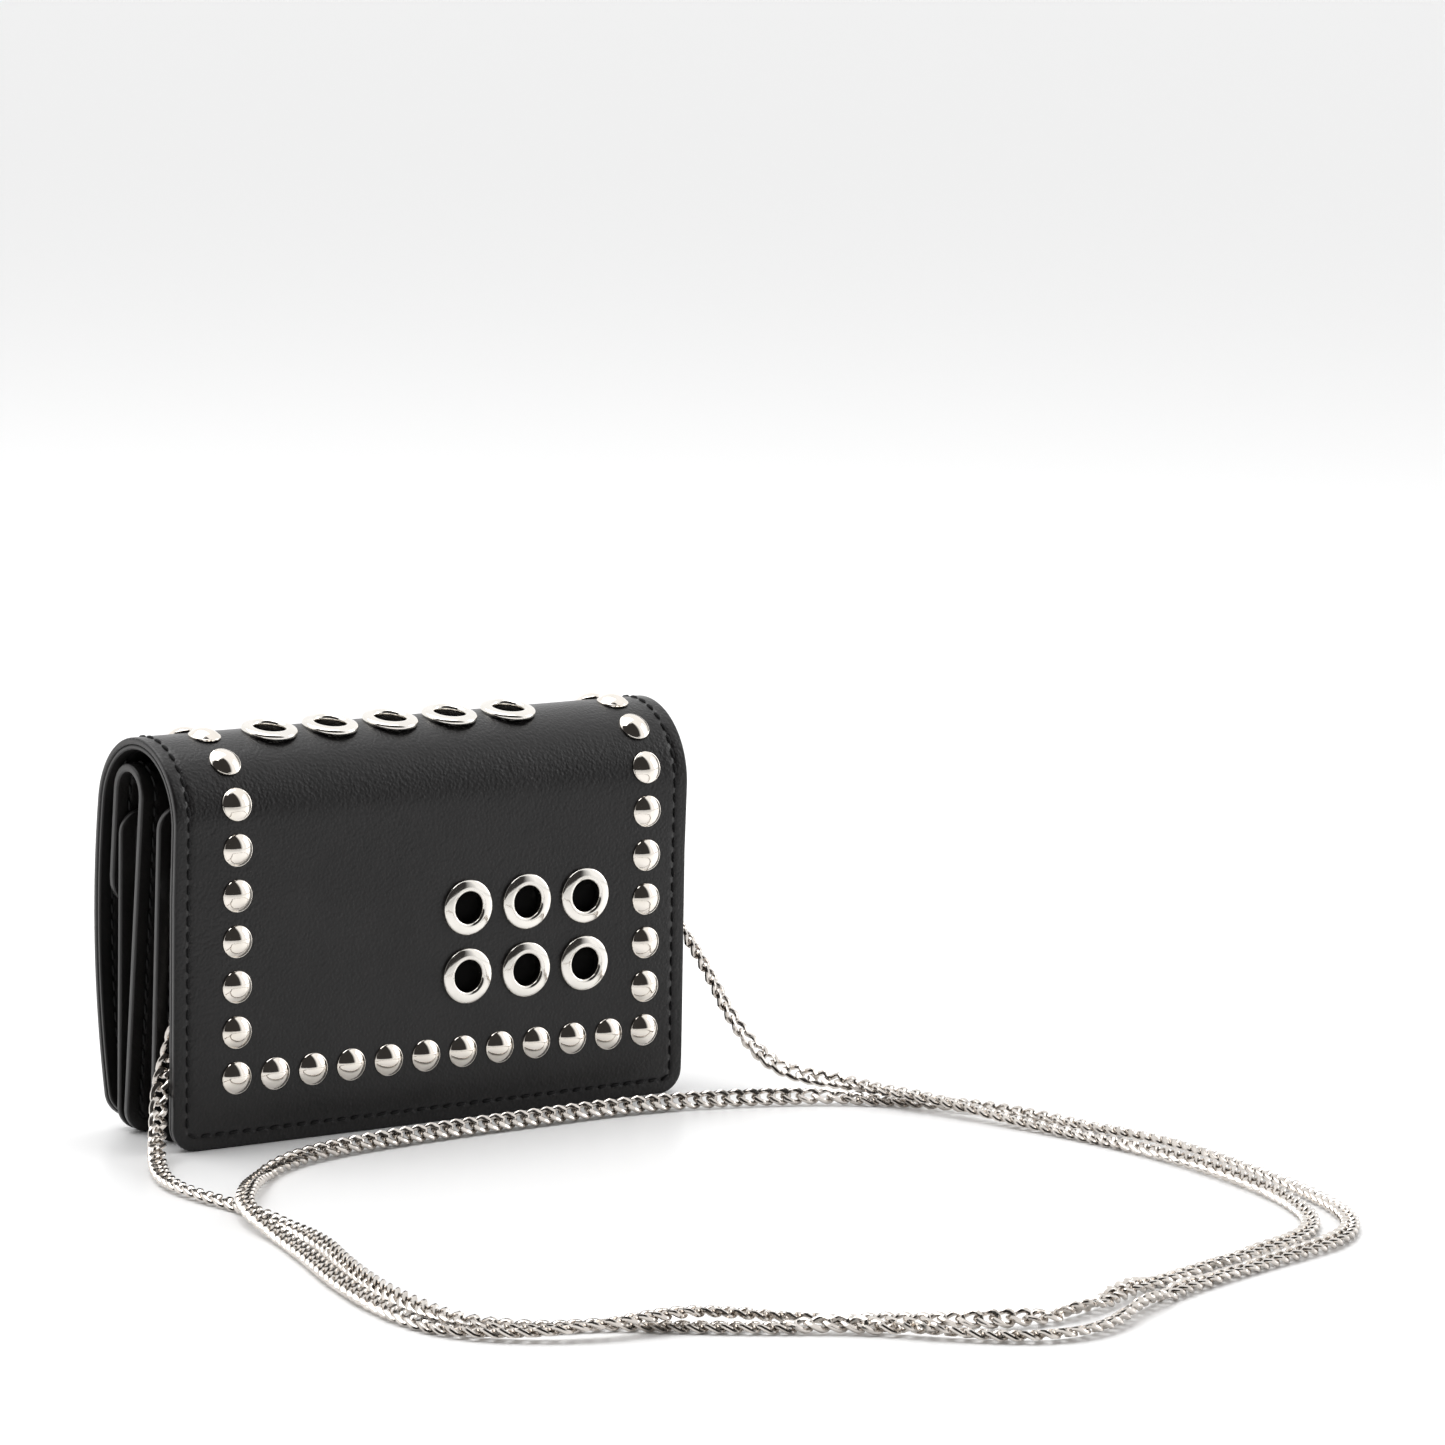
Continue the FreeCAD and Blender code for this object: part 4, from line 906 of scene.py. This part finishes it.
def build_tab(side, x, y, z):
    """A strap folded round the D-ring's bar at a place, with a row of stitches up its middle."""
    low, high = node_box(f"ring_tab_{side}")
    face = low[1] + TAB_GAP + TAB_THICK / 2
    outer = face + TAB_THICK + TAB_GAP
    middle = D_WIRE + TAB_GAP + TAB_THICK / 2
    half_turn = np.linspace(0, math.pi, 14)
    wrap = [(y - middle * math.cos(turn), z - middle * math.sin(turn)) for turn in half_turn]
    sewn = z + TAB_SEWN
    profile, length = bent_profile([(face, high[2]), (face, sewn), *wrap, (outer, sewn), (outer, high[2])])
    tab = slab(f"ring_tab_leather_{side}", profile, 0, length, (high[0] - low[0]) / 2, -TAB_THICK / 2,
               TAB_THICK / 2, seam=None, material=COVER, step=0.5, rounding=0.2, fine=FINE_EDGE)
    for vertex in tab.data.vertices:
        vertex.co.x += x * MM
    parts = Parts()
    for height in np.arange(z + TAB_SEWN - 0.3, high[2] - 0.8, 1.9):
        spot = np.array([x, face + TAB_THICK * 1.5 + TAB_GAP, height])
        stitch(parts, spot - [0, 0.1, 0], np.array([0, 0, 1.0]), np.array([0, 1.0, 0]), 1.5, 0.28)
    hand_over(tab, "back", "cover_leather", f"ring_tab_{side}")
    hand_over(parts.piece(f"ring_tab_stitching_{side}", [THREAD]), "back", "cover_leather")


def build_rings():
    """Each D-ring with its folded tab, and the link ring that hangs in it."""
    turns = 2 * math.pi * np.arange(32) / 32
    circle = np.stack([0 * turns, LINK_RING_RADIUS * np.cos(turns), LINK_RING_RADIUS * np.sin(turns)], 1)
    for side in ("left", "right"):
        low, high = node_box(f"d_ring_{side}")
        bar = (low[0] + high[0]) / 2, (low[1] + high[1]) / 2, high[2] - D_WIRE
        wire_ring(f"d_ring_wire_{side}", d_ring_line(*bar), D_WIRE, np.array([0, 1.0, 0]), f"d_ring_{side}")
        low, high = node_box(f"link_ring_{side}")
        wire_ring(f"link_ring_wire_{side}", (low + high) / 2 + circle, LINK_RING_WIRE,
                  np.array([1.0, 0, 0]), f"link_ring_{side}")
        build_tab(side, *bar)


def post_outline(post, base, tall):
    """A press stud's post: a flat base, a waisted stem and a rounded head."""
    return [(base - 0.2, -0.1), (base, 0.08), (base - 0.12, 0.3), (base - 0.5, 0.4), (post + 0.5, 0.42),
            (post + 0.1, 0.6), (post - 0.06, 0.9), (post - 0.06, tall - 0.75), (post, tall - 0.5),
            (post - 0.1, tall - 0.2), (post - 0.4, tall - 0.03), (0.25, tall)]


def socket_outline(bore, base, thick):
    """A press stud's socket: a ring with eased edges."""
    return [(bore, -0.1), (bore, thick - 0.25), (bore + 0.12, thick - 0.06), (bore + 0.4, thick),
            (base - 0.6, thick), (base - 0.2, thick - 0.12), (base, thick - 0.4), (base, -0.1)]


def build_snaps():
    """Press studs: rounded posts on the coin pocket, ring-shaped sockets on the flaps above them.

    A socket lies aslant, so its CAD box is deeper than its thickness by a share of its width.
    """
    pocket = leaf_profile(POCKET_FOOT, POCKET_LEAN)
    for name, post, base, profile, depth, along, slant in (
            ("snap", 2.2, 5.0, cover_profile, COVER_THICK + LINING_THICK, COVER_LENGTH - 20.2, 0.14),
            ("coin_snap", 1.6, 4.0, front_profile, FRONT_FAR, FRONT_LENGTH - 5.5, 0.087)):
        low, high = node_box(f"{name}_post")
        posts = Parts()
        lathe(posts, post_outline(post, base, high[1] - low[1]),
              *face_seat(pocket, (low[2] + high[2]) / 2, POCKET_SKIN, 1))
        low, high = node_box(f"{name}_socket")
        sockets = Parts()
        lathe(sockets, socket_outline(post + 0.9, base, high[1] - low[1] - base * 2 * slant),
              *face_seat(profile, along, depth, 1), closed=True)
        for parts, node in ((posts, f"{name}_post"), (sockets, f"{name}_socket")):
            hand_over(parts.piece(f"{node}_turned", [SNAP]), BODY_OF[node], "snap_metal", node)


build_cover()
dress_with_studs()
build_eyelet_shade_discs()
build_leaves()
build_gussets()
build_pocket_floors()
build_rings()
build_snaps()

# ---- chain
CHAIN_LAY = 1.9  # height of the route where the chain lies flat
CHAIN_HUMP = 4.0  # height where it passes over itself
# Control points of the route; where a point gives no height, the chain lies flat there
CHAIN_ROUTE = [(*point, CHAIN_LAY) if len(point) == 2 else point for point in (
    (-53.6, -10.9, 45.6), (-54.4, -10.9, 33), (-56.9, -10.9, 22.5), (-61, -12, 13), (-65, -18.5, 6),
    (-69.8, -26.5, 2.4), (-75, -38), (-76.4, -50), (-72.5, -70), (-75.5, -97), (-84.5, -126),
    (-88, -149), (-86, -164), (-75, -172.5), (-63, -176), (-53, -184.5), (-40, -193), (-26, -201),
    (-14, -214.5), (-1, -224), (12, -223), (25, -214), (46, -205), (70, -198), (91, -192.5), (104, -179),
    (110.5, -158), (113.5, -132), (114, -106), (107.5, -82), (99, -62), (86, -46), (66, -36),
    (42, -29.5), (14, -30), (-12, -31), (-37, -34), (-52.5, -41), (-62.5, -52, 2.6),
    (-68.8, -60.5, CHAIN_HUMP), (-75, -69, CHAIN_HUMP), (-78.3, -78, 3.4), (-79.6, -90), (-83.6, -107),
    (-89.5, -128), (-92.8, -150), (-90.6, -167), (-78.8, -177.6), (-66.5, -182, 3.4),
    (-59, -182.5, CHAIN_HUMP), (-50.5, -183, CHAIN_HUMP), (-42.5, -186, 3.4), (-29.5, -193), (-16, -203),
    (-3, -212), (13, -212.5), (35, -202), (60, -194.5), (82, -188.5), (94.5, -179.5), (102, -163.5),
    (105.5, -144), (106.5, -122), (104.5, -100), (99, -79), (94, -64, 3.4), (90, -54, CHAIN_HUMP),
    (86.5, -44.5, CHAIN_HUMP), (82, -33.5, 3.4), (76.5, -24.5, 5.2), (71.5, -18, 13.5),
    (67.3, -13.2, 25.5), (60, -10.9, 37), (53.6, -10.9, 45.6),
)]
CROSSINGS = [(-71.5, -64), (-55, -182), (88, -49.5)]  # where the chain lies flat on itself
CHAIN_WIDTH = 3.8
LINK_PITCH = 3.1
LINK_LENGTH = 5.2
LINK_WIRE = 1.12
LINK_FLAT = 0.84  # half the chain's thickness after its faces are cut flat
LINK_EASE = 0.2  # how far above the floor a link that lies flat stays
ROUTE_STEP = 0.4  # between the places where the route is worked out


def spline_points(points):
    """Points along the NURBS spline that has the given points as its control points."""
    curve = bpy.data.curves.new("route", "CURVE")
    curve.dimensions = "3D"
    curve.resolution_u = 16
    spline = curve.splines.new("NURBS")
    spline.points.add(len(points) - 1)
    for point, place in zip(spline.points, points):
        point.co = (*place, 1)
    spline.order_u = 3
    spline.use_endpoint_u = True
    holder = place_object("route", curve)
    mesh = bpy.data.meshes.new_from_object(holder.evaluated_get(bpy.context.evaluated_depsgraph_get()))
    line = np.array([v.co for v in mesh.vertices])
    bpy.data.objects.remove(holder)
    bpy.data.meshes.remove(mesh)
    return line


def link_shape():
    """One curb link: an oval of wire, twisted so that the next lies in it, with faces cut flat."""
    along = 16
    around = 9
    length = LINK_LENGTH / 2 - LINK_WIRE / 2
    width = CHAIN_WIDTH / 2 - LINK_WIRE / 2
    turns = np.arange(along) * 2 * math.pi / along
    line = np.stack([length * np.cos(turns), width * np.sin(turns), 0.6 * LINK_WIRE * np.sin(2 * turns)], 1)
    tangent = unit(np.roll(line, -1, 0) - np.roll(line, 1, 0))
    points = []
    for place, ahead in zip(line, tangent):
        side = unit(np.cross(ahead, np.array([0, 0, 1.0])))
        top = np.cross(side, ahead)
        for step in range(around):
            angle = 2 * math.pi * step / around
            points.append(place + (side * math.cos(angle) + top * math.sin(angle)) * LINK_WIRE / 2)
    points = np.array(points)
    points[:, 2] = np.clip(points[:, 2], -LINK_FLAT, LINK_FLAT)
    return points, ring_faces(along, around)


def carried_frame(line):
    """Normals carried along a line without twist, both ways from its middle, where they point up."""
    tangent = unit(np.gradient(line, axis=0))
    normals = np.zeros_like(line)
    middle = len(line) // 2
    normals[middle] = (0, 0, 1)
    for order in (range(middle + 1, len(line)), range(middle - 1, -1, -1)):
        last = normals[middle]
        for index in order:
            last = last - tangent[index] * np.dot(last, tangent[index])
            last = last / np.linalg.norm(last)
            normals[index] = last
    return tangent, normals


def chain_roll(distance, line):
    """How far the chain is rolled over about its own length, in radians."""
    wander = 0.32 * np.sin(distance / 41 + 0.4) + 0.24 * np.sin(distance / 17.3 + 1.9)
    by_wallet = np.exp(-((line[:, 1] + 34) / 14) ** 2) * (line[:, 0] < 92)
    by_wallet = by_wallet / (1 + np.exp(-(line[:, 0] + 64) / 2.5))
    in_front = np.exp(-((line[:, 1] + 200) / 16) ** 2) * np.exp(-((line[:, 0] - 8) / 42) ** 2)
    twist = 0.75 * np.sin(distance / 7.1) + 0.5 * np.sin(distance / 4.3 + 1)
    level = 1.0
    for x, y in CROSSINGS:
        level = level * (1 - np.exp(-((line[:, 0] - x) ** 2 + (line[:, 1] - y) ** 2) / 12 ** 2))
    side_by_side = np.exp(-((line[:, 0] + 84) / 13) ** 2) * np.exp(-((line[:, 1] + 118) / 42) ** 4)
    return level * (wander * 0.7 + by_wallet * 0.85 + in_front * twist - side_by_side * 0.5)


def build_chain():
    """The chain, link by link along its route, each half in the next and laid on the floor."""
    line = spline_points(CHAIN_ROUTE)
    distance = travelled(line)
    fine = np.arange(0, distance[-1], ROUTE_STEP)
    line = sample(fine, distance, line)
    tangent, normals = carried_frame(line)
    roll = chain_roll(fine, line)
    rest = CHAIN_WIDTH / 2 * np.abs(np.sin(roll)) + (LINK_FLAT + LINK_EASE) * np.abs(np.cos(roll))
    line[:, 2] -= (CHAIN_LAY - np.minimum(rest, CHAIN_LAY)) * np.exp(-((line[:, 2] - CHAIN_LAY) / 5) ** 2)
    side = np.cross(normals, tangent)
    turned = normals * np.cos(roll)[:, None] + side * np.sin(roll)[:, None]
    shape, faces = link_shape()
    parts = Parts()
    count = int(fine[-1] / LINK_PITCH)
    for index in range(count):
        at = (index + 0.5) * fine[-1] / count
        near = min(int(round(at / ROUTE_STEP)), len(line) - 1)
        ahead, up = tangent[near], turned[near]
        across = np.cross(up, ahead)
        parts.add(line[near] + shape @ np.stack([ahead, across, up]), faces)
    chain = parts.piece("curb_chain", [STEEL], 38)
    hand_over(chain, "back", "chain_steel", "chain")


build_chain()

# ---- carried-over CAD nodes
slot_of = {entry["node"]: entry["material_slot"] for entry in frame["record"]["subparts"]}
for node, obj in frame["nodes"].items():
    obj.data.materials.clear()
    obj.data.materials.append(SLOTS[slot_of[node]])


# ---- floor, lights and camera
def build_floor():
    mat, _, shader = new_material("pale_floor", (0.95, 0.95, 0.95), roughness=0.35)
    shader.inputs["Specular IOR Level"].default_value = 0.35
    reach = 6000
    corners = [(-reach, -reach, 0), (reach, -reach, 0), (reach, reach, 0), (-reach, reach, 0)]
    floor = make_piece("floor", corners, [[0, 1, 2, 3]], [mat])


def area_light(name, place, aim, size, power):
    light = bpy.data.lights.new(name, "AREA")
    light.shape = "RECTANGLE"
    light.size, light.size_y = size[0] * MM, size[1] * MM
    light.energy = power
    lamp = place_object(name, light)
    lamp.location = Vector(place) * MM
    lamp.rotation_euler = (Vector(aim) - Vector(place)).to_track_quat("-Z", "Y").to_euler()


def maths(tree, operation, first, second):
    """The result of a math node on two numbers from other nodes."""
    node = tree.nodes.new("ShaderNodeMath")
    node.operation = operation
    tree.links.new(first, node.inputs[0])
    tree.links.new(second, node.inputs[1])
    return node.outputs[0]


def window(tree, source, start, full, fade, end):
    """1 between two values and 0 outside them, with soft edges."""
    edges = []
    for low, high in ((start, full), (end, fade)):
        edge = tree.nodes.new("ShaderNodeMapRange")
        edge.inputs["From Min"].default_value = low
        edge.inputs["From Max"].default_value = high
        tree.links.new(source, edge.inputs["Value"])
        edges.append(edge.outputs["Result"])
    return maths(tree, "MULTIPLY", *edges)


def build_world():
    """A white studio whose unlit side, at the front and above, darkens what faces it."""
    world = bpy.data.worlds.new("studio")
    bpy.context.scene.world = world
    world.use_nodes = True
    tree = world.node_tree
    background = tree.nodes["Background"]
    background.inputs["Strength"].default_value = 1.16
    where = tree.nodes.new("ShaderNodeTexCoord")
    parts = tree.nodes.new("ShaderNodeSeparateXYZ")
    tree.links.new(where.outputs["Generated"], parts.inputs[0])
    towards = tree.nodes.new("ShaderNodeMath")
    towards.operation = "MULTIPLY"
    towards.inputs[1].default_value = -1
    tree.links.new(parts.outputs["Y"], towards.inputs[0])
    bearing = maths(tree, "ARCTAN2", parts.outputs["X"], towards.outputs[0])
    walls = [window(tree, bearing, -1.7, -1.4, 0.46, 0.68),
             window(tree, parts.outputs["Z"], 0.0, 0.05, 0.95, 0.995)]
    colour = ramp(tree, maths(tree, "MULTIPLY", *walls), 0.0, 1.0, (1, 1, 1), (0.035, 0.033, 0.032))
    tree.links.new(colour, background.inputs["Color"])


def build_camera():
    """A long lens at the front left, a little above the wallet and rolled by a degree."""
    place = Vector((-665.0, -1085.3, 275.5)) * MM
    azimuth = math.radians(-34.46)
    elevation = math.radians(8.73)
    roll = math.radians(0.98)
    back = Vector((math.sin(azimuth) * math.cos(elevation), -math.cos(azimuth) * math.cos(elevation),
                   math.sin(elevation)))
    right = (-back).cross(Vector((0, 0, 1))).normalized()
    up = right.cross(-back)
    right, up = right * math.cos(roll) + up * math.sin(roll), up * math.cos(roll) - right * math.sin(roll)
    camera = bpy.data.cameras.new("camera")
    camera.sensor_width = 36
    camera.lens = 158.98
    camera.clip_end = 50
    holder = place_object("camera", camera)
    turn = Matrix((right, up, back)).transposed().to_4x4()
    holder.matrix_world = Matrix.Translation(place) @ turn
    bpy.context.scene.camera = holder


build_floor()
build_world()
area_light("overhead", (-150, 250, 1100), (0, -60, 0), (1100, 900), 9)
area_light("side", (1000, -300, 420), (0, 0, 30), (500, 700), 2.5)
build_camera()
bpy.context.scene.view_settings.view_transform = "Standard"
